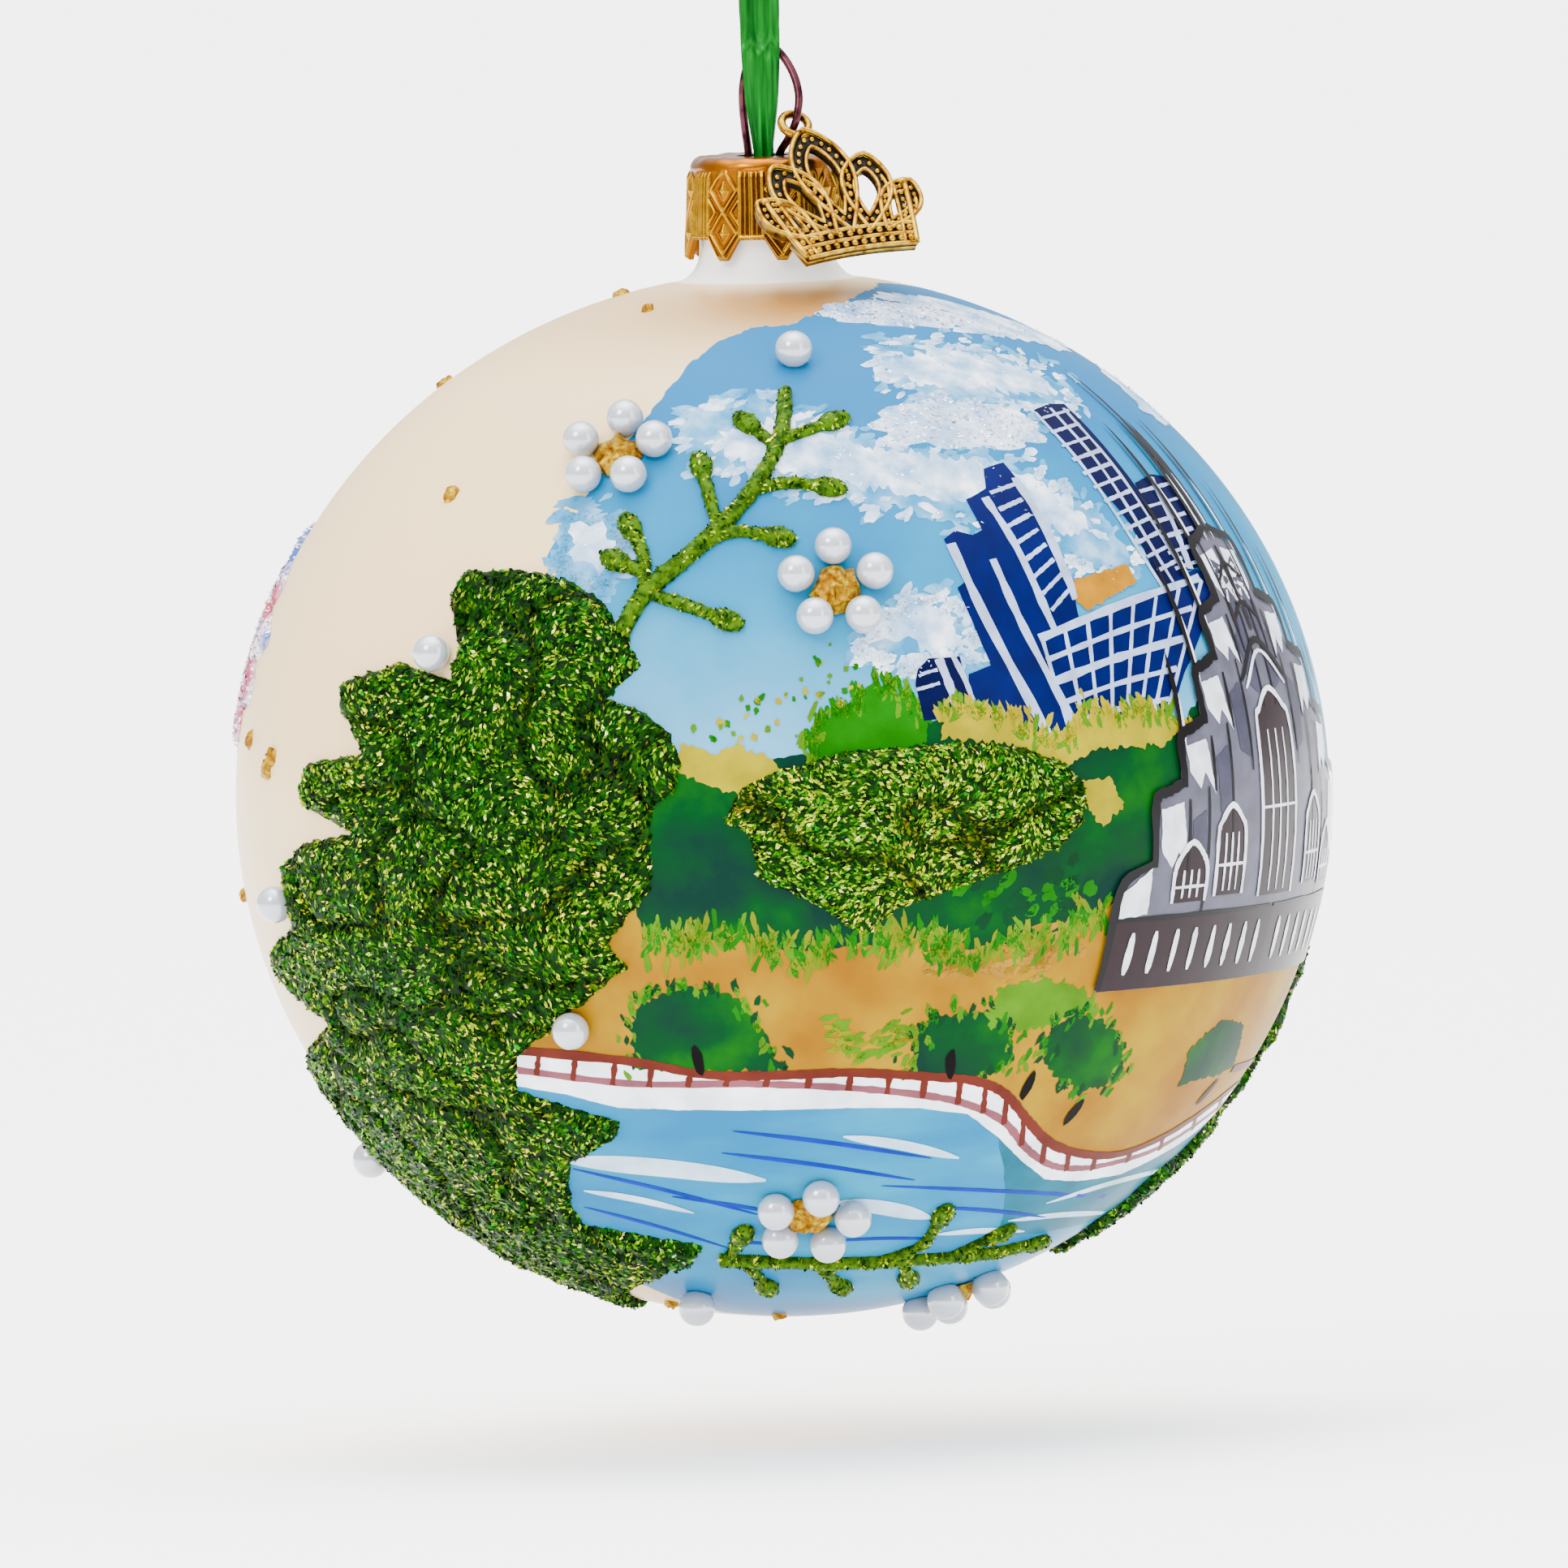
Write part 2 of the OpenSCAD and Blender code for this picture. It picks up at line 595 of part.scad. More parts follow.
ribbon_upper();
ribbon_lower();
ribbon_knot();
cap();
wire_eye();
left_spring_leg();
right_spring_leg();
glass_ball();
crown_charm();
big_tree();
bush();
upper_branch();
lower_vine();
back_tree();
blossom_patch();
sky_glitter();
hall_relief();
upper_flower_pearls();
upper_flower_centre();
middle_flower_pearls();
middle_flower_centre();
lower_flower_pearls();
lower_flower_centre();
bottom_flower_pearls();
bottom_flower_centre();
back_flower_pearls();
back_flower_centre();
single_pearls();
gold_flecks();
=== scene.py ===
"""A hand-painted glass ball ornament: paint, glitter, pearls, cap, charm and ribbon.

Lengths are millimetres in the part's frame, until a mesh is made in metres.
"""

import math

import bpy
import numpy as np
from mathutils import Matrix, Vector, noise
from mathutils.geometry import delaunay_2d_cdt


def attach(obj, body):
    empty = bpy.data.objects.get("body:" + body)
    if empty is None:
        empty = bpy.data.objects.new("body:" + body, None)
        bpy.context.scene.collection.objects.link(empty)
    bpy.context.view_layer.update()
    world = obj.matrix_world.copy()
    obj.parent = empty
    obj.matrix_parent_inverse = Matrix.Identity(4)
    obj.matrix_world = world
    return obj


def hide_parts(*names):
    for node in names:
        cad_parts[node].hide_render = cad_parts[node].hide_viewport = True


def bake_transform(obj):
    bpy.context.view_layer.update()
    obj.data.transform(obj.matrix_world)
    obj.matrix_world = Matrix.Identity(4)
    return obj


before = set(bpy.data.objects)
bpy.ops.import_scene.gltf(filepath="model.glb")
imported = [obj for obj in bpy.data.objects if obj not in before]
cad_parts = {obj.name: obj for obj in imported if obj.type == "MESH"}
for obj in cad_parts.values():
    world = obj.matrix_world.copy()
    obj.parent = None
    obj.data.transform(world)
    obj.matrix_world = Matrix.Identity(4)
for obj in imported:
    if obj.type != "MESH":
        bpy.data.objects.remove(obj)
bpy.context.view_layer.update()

MM = 0.001
A, C = 50.0, 47.8  # half width and half height of the ball
BALL_Z = -82.1  # the ball's middle
CAP_Z = -23.6  # the cap's top
rng = np.random.default_rng(11)


# ---- viewpoints and points of the glass -----------------------------------
def viewpoint(azimuth, elevation, roll=0.0):
    """Right, up and depth axes of a viewpoint given in degrees."""
    a, e, r = map(math.radians, (azimuth, elevation, roll))
    right = np.array([math.cos(a), math.sin(a), 0])
    up = np.array([-math.sin(a) * math.sin(e), math.cos(a) * math.sin(e), math.cos(e)])
    depth = np.array([-math.sin(a) * math.cos(e), math.cos(a) * math.cos(e), -math.sin(e)])
    return (
        right * math.cos(r) - up * math.sin(r),
        right * math.sin(r) + up * math.cos(r),
        depth,
    )


FRONT = viewpoint(0, 3.5, 1.7)
SHAPE = np.array([1 / A, 1 / A, 1 / C])


def onto_glass(p):
    p = np.asarray(p, float)
    return p / np.linalg.norm(p * SHAPE, axis=-1, keepdims=True)


def seen(points, axes=FRONT):
    """Points of the glass that a viewpoint sees at (u, w): u right and w up from the ball's middle."""
    p = np.atleast_2d(np.asarray(points, float))
    right, up, depth = axes
    base = p[:, :1] * right + p[:, 1:] * up
    d, b3 = depth * SHAPE, base * SHAPE
    a, b, c = d @ d, b3 @ d, (b3 * b3).sum(1) - 1
    t = (-b - np.sqrt(np.maximum(0, b * b - a * c))) / a
    return onto_glass(base + t[:, None] * depth)


def normals(q):
    return unit(np.asarray(q, float) * SHAPE * SHAPE)


def lifted(q, lift):
    """Points of the glass raised by lift, in the part's frame."""
    lift = np.asarray(lift, float)
    if lift.ndim:
        lift = lift[:, None]
    return q + normals(q) * lift + np.array([0, 0, BALL_Z])


def charted(q):
    """(heading, latitude) in degrees of points from the ball's middle."""
    return np.degrees(np.stack([np.arctan2(q[:, 0], -q[:, 1]), np.arcsin(unit(q)[:, 2])], 1))


def chart(points, axes=FRONT):
    """(heading, latitude) in degrees of what shows at (u, w)."""
    return charted(seen(points, axes))


def at_heading(c):
    """Points of the glass at (heading, latitude) in degrees, from the ball's middle."""
    az, lat = np.radians(np.atleast_2d(c)).T
    return onto_glass(np.stack([np.cos(lat) * np.sin(az), -np.cos(lat) * np.cos(az), np.sin(lat)], 1))


def tangents(q):
    """Directions to the right and up along the glass."""
    n = normals(q)
    right = unit(np.cross([0, 0, 1.0], n))
    return right, np.cross(n, right)


# ---- meshes ---------------------------------------------------------------
class Build:
    """Vertices, faces and a tint for each face, gathered for one object."""

    def __init__(self):
        self.verts, self.faces, self.tints, self.count = [], [], [], 0

    def add(self, verts, faces, tint=None):
        self.verts.append(np.asarray(verts, float).reshape(-1, 3))
        self.faces += [tuple(int(i) + self.count for i in f) for f in faces]
        self.tints += [tint] * len(faces)
        self.count += len(self.verts[-1])

    def make(self, name, material, body, replaces=(), slot=None, smooth=True, tones=None):
        """Makes the mesh. tones holds a colour for each vertex, in place of the tints."""
        mesh = bpy.data.meshes.new(name)
        mesh.from_pydata((np.concatenate(self.verts) * MM).tolist(), [], self.faces)
        mesh.materials.append(material)
        mesh.polygons.foreach_set("use_smooth", [smooth] * len(mesh.polygons))
        if any(t is not None for t in self.tints):
            layer = mesh.color_attributes.new("tint", "FLOAT_COLOR", "CORNER")
            counts = [len(f) for f in self.faces]
            flat = np.repeat(np.array([(*t, 1) for t in self.tints]), counts, axis=0)
            layer.data.foreach_set("color", flat.ravel())
        if tones is not None:
            layer = mesh.color_attributes.new("tint", "FLOAT_COLOR", "POINT")
            layer.data.foreach_set("color", np.column_stack([tones, np.ones(len(tones))]).ravel())
        mesh.update()
        obj = bpy.data.objects.new(name, mesh)
        bpy.context.scene.collection.objects.link(obj)
        if body:
            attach(obj, body)
        if replaces:
            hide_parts(*replaces)
        return obj


def curve(points, steps):
    """Catmull-Rom curve through points, with steps pieces to each span."""
    p = np.asarray(points, float)
    p = np.vstack([2 * p[0] - p[1], p, 2 * p[-1] - p[-2]])
    out = []
    for a, b, c, d in zip(p, p[1:], p[2:], p[3:]):
        for t in np.arange(steps) / steps:
            square, cube = 2 * a - 5 * b + 4 * c - d, 3 * b - a - 3 * c + d
            out.append(0.5 * (2 * b + (c - a) * t + square * t**2 + cube * t**3))
    return np.array(out + [p[-2]])


def quads(rows, cols, close=False, flip=False):
    """Faces between neighbouring rings of cols points each. close joins the last ring to the first."""
    faces = []
    for i in range(rows if close else rows - 1):
        a, b = i * cols, (i + 1) % rows * cols
        for k in range(cols):
            j = (k + 1) % cols
            faces.append((a + k, b + k, b + j, a + j) if flip else (a + k, a + j, b + j, b + k))
    return faces


def ends(rows, cols):
    """The two flat ends of a row of rings."""
    return [tuple(range(cols - 1, -1, -1)), tuple((rows - 1) * cols + a for a in range(cols))]


def around(r, t, z):
    """Points at radius r, angle t and height z."""
    return np.stack(np.broadcast_arrays(r * np.cos(t), r * np.sin(t), z), -1)


def circle(count):
    return np.linspace(0, 2 * math.pi, count, endpoint=False)


def unit(v):
    return v / np.linalg.norm(v, axis=-1, keepdims=True)


def run_of(points):
    """Distance along a line of points, at each point."""
    return np.concatenate([[0], np.cumsum(np.linalg.norm(np.diff(points, axis=0), axis=1))])


def tube(build, points, sizes, side=(0.13, 0.21, 0.97), close=False):
    """A round tube through points. sizes holds its half sizes (across, out)."""
    p = np.asarray(points, float)
    t = circle(12)
    sizes = np.broadcast_to(np.asarray(sizes, float), (len(p), 2))
    along = unit(np.roll(p, -1, 0) - np.roll(p, 1, 0) if close else np.gradient(p, axis=0))
    out = unit(np.cross(along, side))
    wide = np.cross(out, along)
    rings = (
        p[:, None]
        + wide[:, None] * (np.cos(t) * sizes[:, :1])[..., None]
        + out[:, None] * (np.sin(t) * sizes[:, 1:])[..., None]
    )
    faces = quads(len(p), 12, close)
    if not close:
        faces += ends(len(p), 12)
    build.add(rings.reshape(-1, 3), faces)


def lathe(build, profile, steps):
    """A closed turned shape round Z. profile runs (r, z)."""
    r, z = np.asarray(profile, float).T[:, :, None]
    build.add(around(r, circle(steps), z).reshape(-1, 3), quads(len(profile), steps))


def globe(build, centre, radius, axes=None, rows=14, cols=24, low=-1.0):
    """A ball on centre, cut flat below low radii along its third axis."""
    axes = np.eye(3) if axes is None else np.asarray(axes)
    radius = np.broadcast_to(np.asarray(radius, float), (3,))
    lats = np.linspace(math.asin(low), math.pi / 2, rows)[:, None]
    local = around(np.cos(lats), circle(cols), np.sin(lats)).reshape(-1, 3)
    faces = quads(rows, cols) + [tuple(range(cols - 1, -1, -1))]
    build.add(centre + (local * radius) @ axes, faces)


# ---- patches of film and paste on the glass -------------------------------
def hum(points, scale, seed=0.0):
    """Smooth noise from -1 to 1 at each point."""
    spots = (Vector((x * scale + seed, y * scale - seed, seed * 1.7)) for x, y in points)
    return np.array([noise.noise(at) for at in spots])


def folds(flat):
    """How deep each (heading, latitude) lies in a crease of the paste, from 0 to 1."""
    drift = flat + 3 * np.stack([hum(flat, 0.09, 21), hum(flat, 0.09, 31)], 1)
    return np.exp(-((hum(drift * [0.8, 1.25], 0.085, 7) / 0.075) ** 2))


def squash_at(points):
    """How much narrower a degree of heading is than one of latitude, at these points."""
    return np.array([math.cos(math.radians(float(points[:, 1].mean()))), 1])


def rough(outline, step, amount, seed, wave=0.5):
    """A closed outline in degrees, resampled every step and made ragged by amount."""
    p = np.asarray(outline, float)
    q = np.roll(p, -1, 0)
    squash = squash_at(p)
    out = []
    for a, b in zip(p, q):
        n = max(1, int(np.linalg.norm((b - a) * squash) / step))
        out += [a + (b - a) * i / n for i in range(n)]
    out = np.array(out)
    if not amount:
        return out
    along = np.roll(out, -1, 0) - np.roll(out, 1, 0)
    across = np.stack([along[:, 1], -along[:, 0]], 1)
    across /= np.linalg.norm(across, axis=1, keepdims=True) + 1e-9
    push = hum(out, wave, seed) + 0.6 * hum(out, wave * 3.1, seed + 5) + 0.4 * rng.uniform(-1, 1, len(out))
    return out + across * (amount * push)[:, None] / squash


def inside(points, outline):
    x, y = points[:, 0, None], points[:, 1, None]
    a, b = outline, np.roll(outline, -1, 0)
    crosses = (a[:, 1] > y) != (b[:, 1] > y)
    at = (b[:, 0] - a[:, 0]) * (y - a[:, 1]) / (b[:, 1] - a[:, 1] + 1e-12) + a[:, 0]
    return (crosses & (x < at)).sum(1) % 2 == 1


def patch(build, outline, lift, grid=1.7, swell=0.0, ramp=1.2, lumps=0.0, tint=None):
    """Fills an outline of (heading, latitude) with a skin over the glass, raised by lift and swell."""
    lo, hi = outline.min(0), outline.max(0)
    xs, ys = np.arange(lo[0] + grid / 2, hi[0], grid), np.arange(lo[1] + grid / 2, hi[1], grid * 0.87)
    gx, gy = np.meshgrid(xs, ys)
    gx[1::2] += grid / 2
    inner = np.stack([gx.ravel(), gy.ravel()], 1)
    inner = inner[inside(inner, outline)]
    squash = squash_at(outline)
    if len(inner):
        gap = np.min(np.linalg.norm((inner[:, None] - outline[None]) * squash, axis=2), axis=1)
        inner = inner[gap > grid * 0.3]
    points = np.vstack([outline, inner])
    rim = [list(range(len(outline)))]
    verts, _, faces, *_ = delaunay_2d_cdt([Vector(p) for p in points], [], rim, 1, 1e-5)
    flat = np.array([tuple(v) for v in verts])
    q = at_heading(flat)
    height = np.full(len(flat), float(lift))
    if swell:
        gap = np.min(np.linalg.norm((flat[:, None] - outline[None]) * squash, axis=2), axis=1)
        share = np.clip(gap / ramp, 0, 1)
        height += swell * np.sqrt(1 - (1 - share) ** 2)
        if lumps:
            height -= share * lumps * (folds(flat) - 0.4 * hum(flat, 0.45, 3))
    turned = []
    for f in faces:
        a, b, c = (q[i] for i in f[:3])
        outward = np.dot(np.cross(b - a, c - a), a) > 0
        turned.append(tuple(f) if outward else tuple(reversed(f)))
    build.add(lifted(q, height), turned, tint)


def stroke(build, points, width, lift, axes=FRONT, steps=6, taper=0.0, tint=None, wobble=0.0, sketch=None):
    """A brush stroke along (u, w) points. taper is the share of the width lost at its two ends."""
    c = curve(points, steps) if sketch is None else sketch
    q = seen(c, axes) if sketch is None else at_heading(c)
    along = np.gradient(q, axis=0)
    along /= np.linalg.norm(along, axis=1, keepdims=True) + 1e-12
    side = np.cross(normals(q), along)
    t = np.linspace(-1, 1, len(q))
    w = width / 2 * (1 - taper * np.abs(t) ** 3)
    if wobble:
        w = w * (1 + wobble * rng.uniform(-1, 1, len(q)))
    left, right = onto_glass(q + side * w[:, None]), onto_glass(q - side * w[:, None])
    v = np.stack([lifted(left, lift), lifted(right, lift)], 1).reshape(-1, 3)
    faces = [(2 * i, 2 * i + 1, 2 * i + 3, 2 * i + 2) for i in range(len(q) - 1)]
    build.add(v, faces, tint)


def dab(build, at, length, width, turn, lift, tint, ragged, heading=False):
    """A small irregular dab of paint at (u, w), or at a heading and latitude."""
    q = at_heading(at)[0] if heading else seen([at])[0]
    right, up = tangents(q[None])
    cut = 11
    t = circle(cut)
    r = 1 + ragged * rng.uniform(-1, 1, cut)
    x, y = np.cos(t) * length / 2 * r, np.sin(t) * width / 2 * r
    a = math.radians(turn)
    x, y = x * math.cos(a) - y * math.sin(a), x * math.sin(a) + y * math.cos(a)
    rim = onto_glass(q + right * x[:, None] + up * y[:, None])
    faces = [(0, 1 + i, 1 + (i + 1) % cut) for i in range(cut)]
    build.add(lifted(np.vstack([q, rim]), lift), faces, tint)


def disc(build, q, radius, lift, dome, cut, jitter):
    """A low uneven dome of paste on the glass at point q."""
    right, up = tangents(q[None])
    rings = [(0.0, 1), (0.45, 0.93), (0.8, 0.65), (1.0, 0.0)]
    t = circle(cut)
    verts = []
    for share, high in rings:
        r = radius * share * (1 + jitter * rng.uniform(-1, 1, cut))
        p = onto_glass(q + right * (r * np.cos(t))[:, None] + up * (r * np.sin(t))[:, None])
        bump = lift + dome * high * (1 + (jitter * 2 * rng.uniform(-1, 1, cut) if 0 < share < 1 else 0))
        verts.append(lifted(p, bump * np.ones(cut)))
    build.add(np.concatenate(verts), quads(len(rings), cut, flip=True))


def flakes(name, source, count, size, palette, weights, material, tilt=0.32, lift=0.1, drift=0.0):
    """Needle flakes of glitter strewn over the faces of a mesh."""
    mesh = source.data
    v = np.array([tuple(x.co) for x in mesh.vertices]) / MM
    mesh.calc_loop_triangles()
    tri = np.array([tuple(t.vertices) for t in mesh.loop_triangles])
    a, b, c = v[tri[:, 0]], v[tri[:, 1]], v[tri[:, 2]]
    cross = np.cross(b - a, c - a)
    area = np.linalg.norm(cross, axis=1)
    which = rng.choice(len(tri), count, p=area / area.sum())
    r1, r2 = np.sqrt(rng.random(count)), rng.random(count)
    at = a[which] * (1 - r1)[:, None] + b[which] * (r1 * (1 - r2))[:, None] + c[which] * (r1 * r2)[:, None]
    n = cross[which] / area[which][:, None]
    at = at + n * (lift * rng.random(count))[:, None]
    q = at - [0, 0, BALL_Z]
    flat = charted(q)
    right, up = tangents(q)
    swirl = (7 * hum(flat, 0.06, 41) + rng.normal(0, 0.55, count))[:, None]
    n = unit(n + rng.normal(0, tilt, (count, 3)))
    along = unit(np.cross(n, right * np.cos(swirl) + up * np.sin(swirl)))
    across = np.cross(n, along)
    long = size * rng.uniform(0.5, 1.2, count)[:, None]
    wide = long * rng.uniform(0.25, 0.6, count)[:, None]
    corners = np.stack(
        [at - along * long / 2, at + across * wide / 2, at + along * long / 2, at - across * wide / 2], 1
    )
    build = Build()
    build.add(corners.reshape(-1, 3), np.arange(4 * count).reshape(-1, 4))
    shade = rng.choice(len(palette), count, p=np.array(weights) / sum(weights))
    tints = np.array(palette)[shade] * rng.uniform(0.6, 1.3, (count, 1))
    if drift:
        # Flakes take a random warm drift, and those in the paste's creases are darkened as painted shade.
        warm = hum(flat, 0.07, 13)[:, None]
        tints = tints * (1 + drift * warm * [1.0, 0.35, -0.5]) * (1 - 0.85 * folds(flat)[:, None])
        tints = np.clip(tints, 0, 1)
    build.tints = [tuple(t) for t in tints]
    build.make(name, material, "ball", smooth=False)


# ---- materials ------------------------------------------------------------
def srgb(r, g, b):
    """Albedo for a colour given in 0-255 values, deepened because bright soft light pales it."""
    c = np.maximum(np.array([r, g, b]) / 255, 0.01) ** 2.2
    grey = c @ [0.21, 0.72, 0.07]
    strong = 1 - c.min() / c.max()
    deep = grey * (c / grey) ** 1.55 * (0.32 + 0.68 * grey**2) * (1 - 0.47 * strong)
    return tuple(float(x) for x in np.minimum(deep, 0.95))


def material(name, base=None, rough=0.5, metal=0.0, coat=0.0, spec=0.04, sub=0.0):
    m = bpy.data.materials.new(name)
    m.use_nodes = True
    s = m.node_tree.nodes["Principled BSDF"]
    if base is not None:
        s.inputs["Base Color"].default_value = (*base, 1)
    s.inputs["Roughness"].default_value = rough
    s.inputs["Metallic"].default_value = metal
    s.inputs["Coat Weight"].default_value = coat
    s.inputs["Coat Roughness"].default_value = 0.12
    s.inputs["Specular IOR Level"].default_value = spec
    if sub:
        s.inputs["Subsurface Weight"].default_value = sub
        s.inputs["Subsurface Scale"].default_value = 0.001
    return m


def node(m, kind, **inputs):
    n = m.node_tree.nodes.new(kind)
    for key, value in inputs.items():
        n.inputs[key.replace("_", " ")].default_value = value
    return n


def link(m, a, out, b, into):
    m.node_tree.links.new(a.outputs[out], b.inputs[into])


def shader(m):
    return m.node_tree.nodes["Principled BSDF"]


def noise_of(m, scale, detail=4.0, stretch=(1, 1, 1)):
    """Noise over the object's own coordinates, in features of 1/scale mm."""
    where = node(m, "ShaderNodeTexCoord")
    place = node(m, "ShaderNodeMapping")
    place.inputs["Scale"].default_value = stretch
    n = node(m, "ShaderNodeTexNoise", Scale=scale / MM, Detail=detail)
    link(m, where, "Object", place, "Vector")
    link(m, place, "Vector", n, "Vector")
    return n


def ramp(m, stops):
    r = node(m, "ShaderNodeValToRGB")
    e = r.color_ramp.elements
    while len(e) < len(stops):
        e.new(0.5)
    for item, (at, colour) in zip(e, stops):
        item.position, item.color = at, (*colour, 1)
    return r


def bump(m, source, strength, distance):
    b = node(m, "ShaderNodeBump", Strength=strength, Distance=distance * MM)
    link(m, source, "Fac", b, "Height")
    link(m, b, "Normal", shader(m), "Normal")


def toned(m, source, stops):
    """Gives a material the colour of stops, along a noise."""
    r = ramp(m, stops)
    link(m, source, "Fac", r, "Fac")
    link(m, r, "Color", shader(m), "Base Color")


def mottled(name, stops, scale, rough=0.5, relief=0.3, depth=0.05, stretch=(1, 1, 1), **more):
    """Paint whose colour wanders through stops, with a slightly uneven surface."""
    m = material(name, rough=rough, **more)
    toned(m, noise_of(m, scale, 5.0, stretch), stops)
    bump(m, noise_of(m, scale * 4, 3.0, stretch), relief, depth)
    return m


def tinted(name, rough=0.4, metal=0.0, mottle=0.0, **more):
    """A material that takes its colour from the mesh's tint."""
    m = material(name, rough=rough, metal=metal, **more)
    a = node(m, "ShaderNodeAttribute")
    a.attribute_name = "tint"
    if not mottle:
        link(m, a, "Color", shader(m), "Base Color")
        return m
    n = noise_of(m, mottle, 4.0)
    r = ramp(m, [(0.3, (0.72, 0.72, 0.72)), (0.7, (1.15, 1.15, 1.15))])
    mix = node(m, "ShaderNodeMix")
    mix.data_type, mix.blend_type = "RGBA", "MULTIPLY"
    mix.inputs["Factor"].default_value = 1.0
    link(m, n, "Fac", r, "Fac")
    m.node_tree.links.new(a.outputs["Color"], mix.inputs[6])
    m.node_tree.links.new(r.outputs["Color"], mix.inputs[7])
    m.node_tree.links.new(mix.outputs[2], shader(m).inputs["Base Color"])
    return m


# ---- camera, floor and light ----------------------------------------------
def look():
    """A far camera just above the ball's middle, rolled a little."""
    distance, across = 4000.0, 143.4
    right, up, depth = FRONT
    aim = np.array([0, 0, BALL_Z]) + right * 0.15 + up * 0.89
    cam = bpy.data.objects.new("camera", bpy.data.cameras.new("camera"))
    bpy.context.scene.collection.objects.link(cam)
    bpy.context.scene.camera = cam
    cam.data.lens = cam.data.sensor_width * distance / across
    cam.data.clip_start, cam.data.clip_end = 0.1, 100
    turn = Matrix([[right[i], up[i], -depth[i]] for i in range(3)]).to_4x4()
    cam.matrix_world = Matrix.Translation(Vector((aim - depth * distance) * MM)) @ turn


def area(name, at, size, power):
    """A soft lamp, with its place and size in metres, aimed at the ball."""
    lamp = bpy.data.lights.new(name, "AREA")
    lamp.shape, lamp.size, lamp.size_y = "RECTANGLE", *size
    lamp.energy = power
    obj = bpy.data.objects.new(name, lamp)
    bpy.context.scene.collection.objects.link(obj)
    obj.location = at
    aim = Vector((0, 0, BALL_Z * MM))
    obj.rotation_euler = (aim - Vector(at)).to_track_quat("-Z", "Y").to_euler()


def studio():
    build = Build()
    far, low = 8000, BALL_Z - 59.6
    corners = ((-far, -far), (far, -far), (far, far), (-far, far))
    build.add([(x, y, low) for x, y in corners], [(0, 1, 2, 3)])
    pale = material("floor", (0.94, 0.94, 0.94), 0.9, spec=0.1)
    shader(pale).inputs["Emission Color"].default_value = (1, 1, 1, 1)
    shader(pale).inputs["Emission Strength"].default_value = 1.2
    build.make("floor", pale, None)
    # A white room whose ceiling is one broad soft light.
    world = bpy.data.worlds.new("world")
    bpy.context.scene.world = world
    world.use_nodes = True
    nodes, links = world.node_tree.nodes, world.node_tree.links
    where, apart = nodes.new("ShaderNodeTexCoord"), nodes.new("ShaderNodeSeparateXYZ")
    links.new(where.outputs["Generated"], apart.inputs[0])
    last = apart.outputs["Z"]
    for kind, values in (("MAXIMUM", (0.0,)), ("POWER", (6.0,)), ("MULTIPLY_ADD", (12.0, 1.3))):
        step = nodes.new("ShaderNodeMath")
        step.operation = kind
        links.new(last, step.inputs[0])
        for socket, value in zip(step.inputs[1:], values):
            socket.default_value = value
        last = step.outputs[0]
    nodes["Background"].inputs["Color"].default_value = (1, 1, 1, 1)
    links.new(last, nodes["Background"].inputs["Strength"])
    area("key", (-0.7, -0.9, 0.75), (0.5, 0.5), 16)
    area("fill", (0.9, -0.8, 0.3), (0.4, 0.8), 5)


# ---- ribbon ---------------------------------------------------------------
# x, y, z above the cap's top, and the ribbon's half width, from the knot up the front strand,
# over the loop and down the back strand to the knot.
RIBBON = [
    (-0.8, -1.9, -2.7, 0.55), (-0.4, -1.85, -1.4, 0.7), (0, -1.75, 0, 0.9), (0, -1.8, 1.2, 1.0),
    (0, -1.9, 3, 1.25), (0, -1.95, 5, 1.5), (0, -2, 7, 1.65), (0, -1.95, 9, 1.75), (0, -0.9, 10.7, 1.8),
    (0, -0.65, 12, 1.8), (0, -0.65, 13.3, 1.85), (0, -0.65, 15, 1.85), (0, -0.75, 16.6, 1.8),
    (0, -1.5, 18, 1.8), (0, -2.2, 19.4, 1.8), (0, -2.45, 21, 1.8), (0, -1.9, 22.6, 1.8),
    (0, -0.8, 23.7, 1.8), (0, 0.8, 23.7, 1.8), (0, 1.9, 22.6, 1.8), (0, 2.45, 21, 1.8),
    (0, 2.2, 19.4, 1.8), (0, 1.5, 18, 1.8), (0, 0.75, 16.6, 1.8), (0, 0.65, 15, 1.8),
    (0, 0.65, 13.3, 1.8), (0, 0.65, 12, 1.7), (0, 0.8, 10.7, 1.5), (0, 0.9, 9, 1.5), (0, 0.8, 7, 1.25),
    (0, 0.6, 5, 1.15), (0, 0.2, 3, 1.1), (0, -0.3, 1.2, 0.9), (0, -0.45, 0, 0.85),
    (-0.4, -0.9, -1.4, 0.7), (-0.8, -1.2, -2.7, 0.55),
]


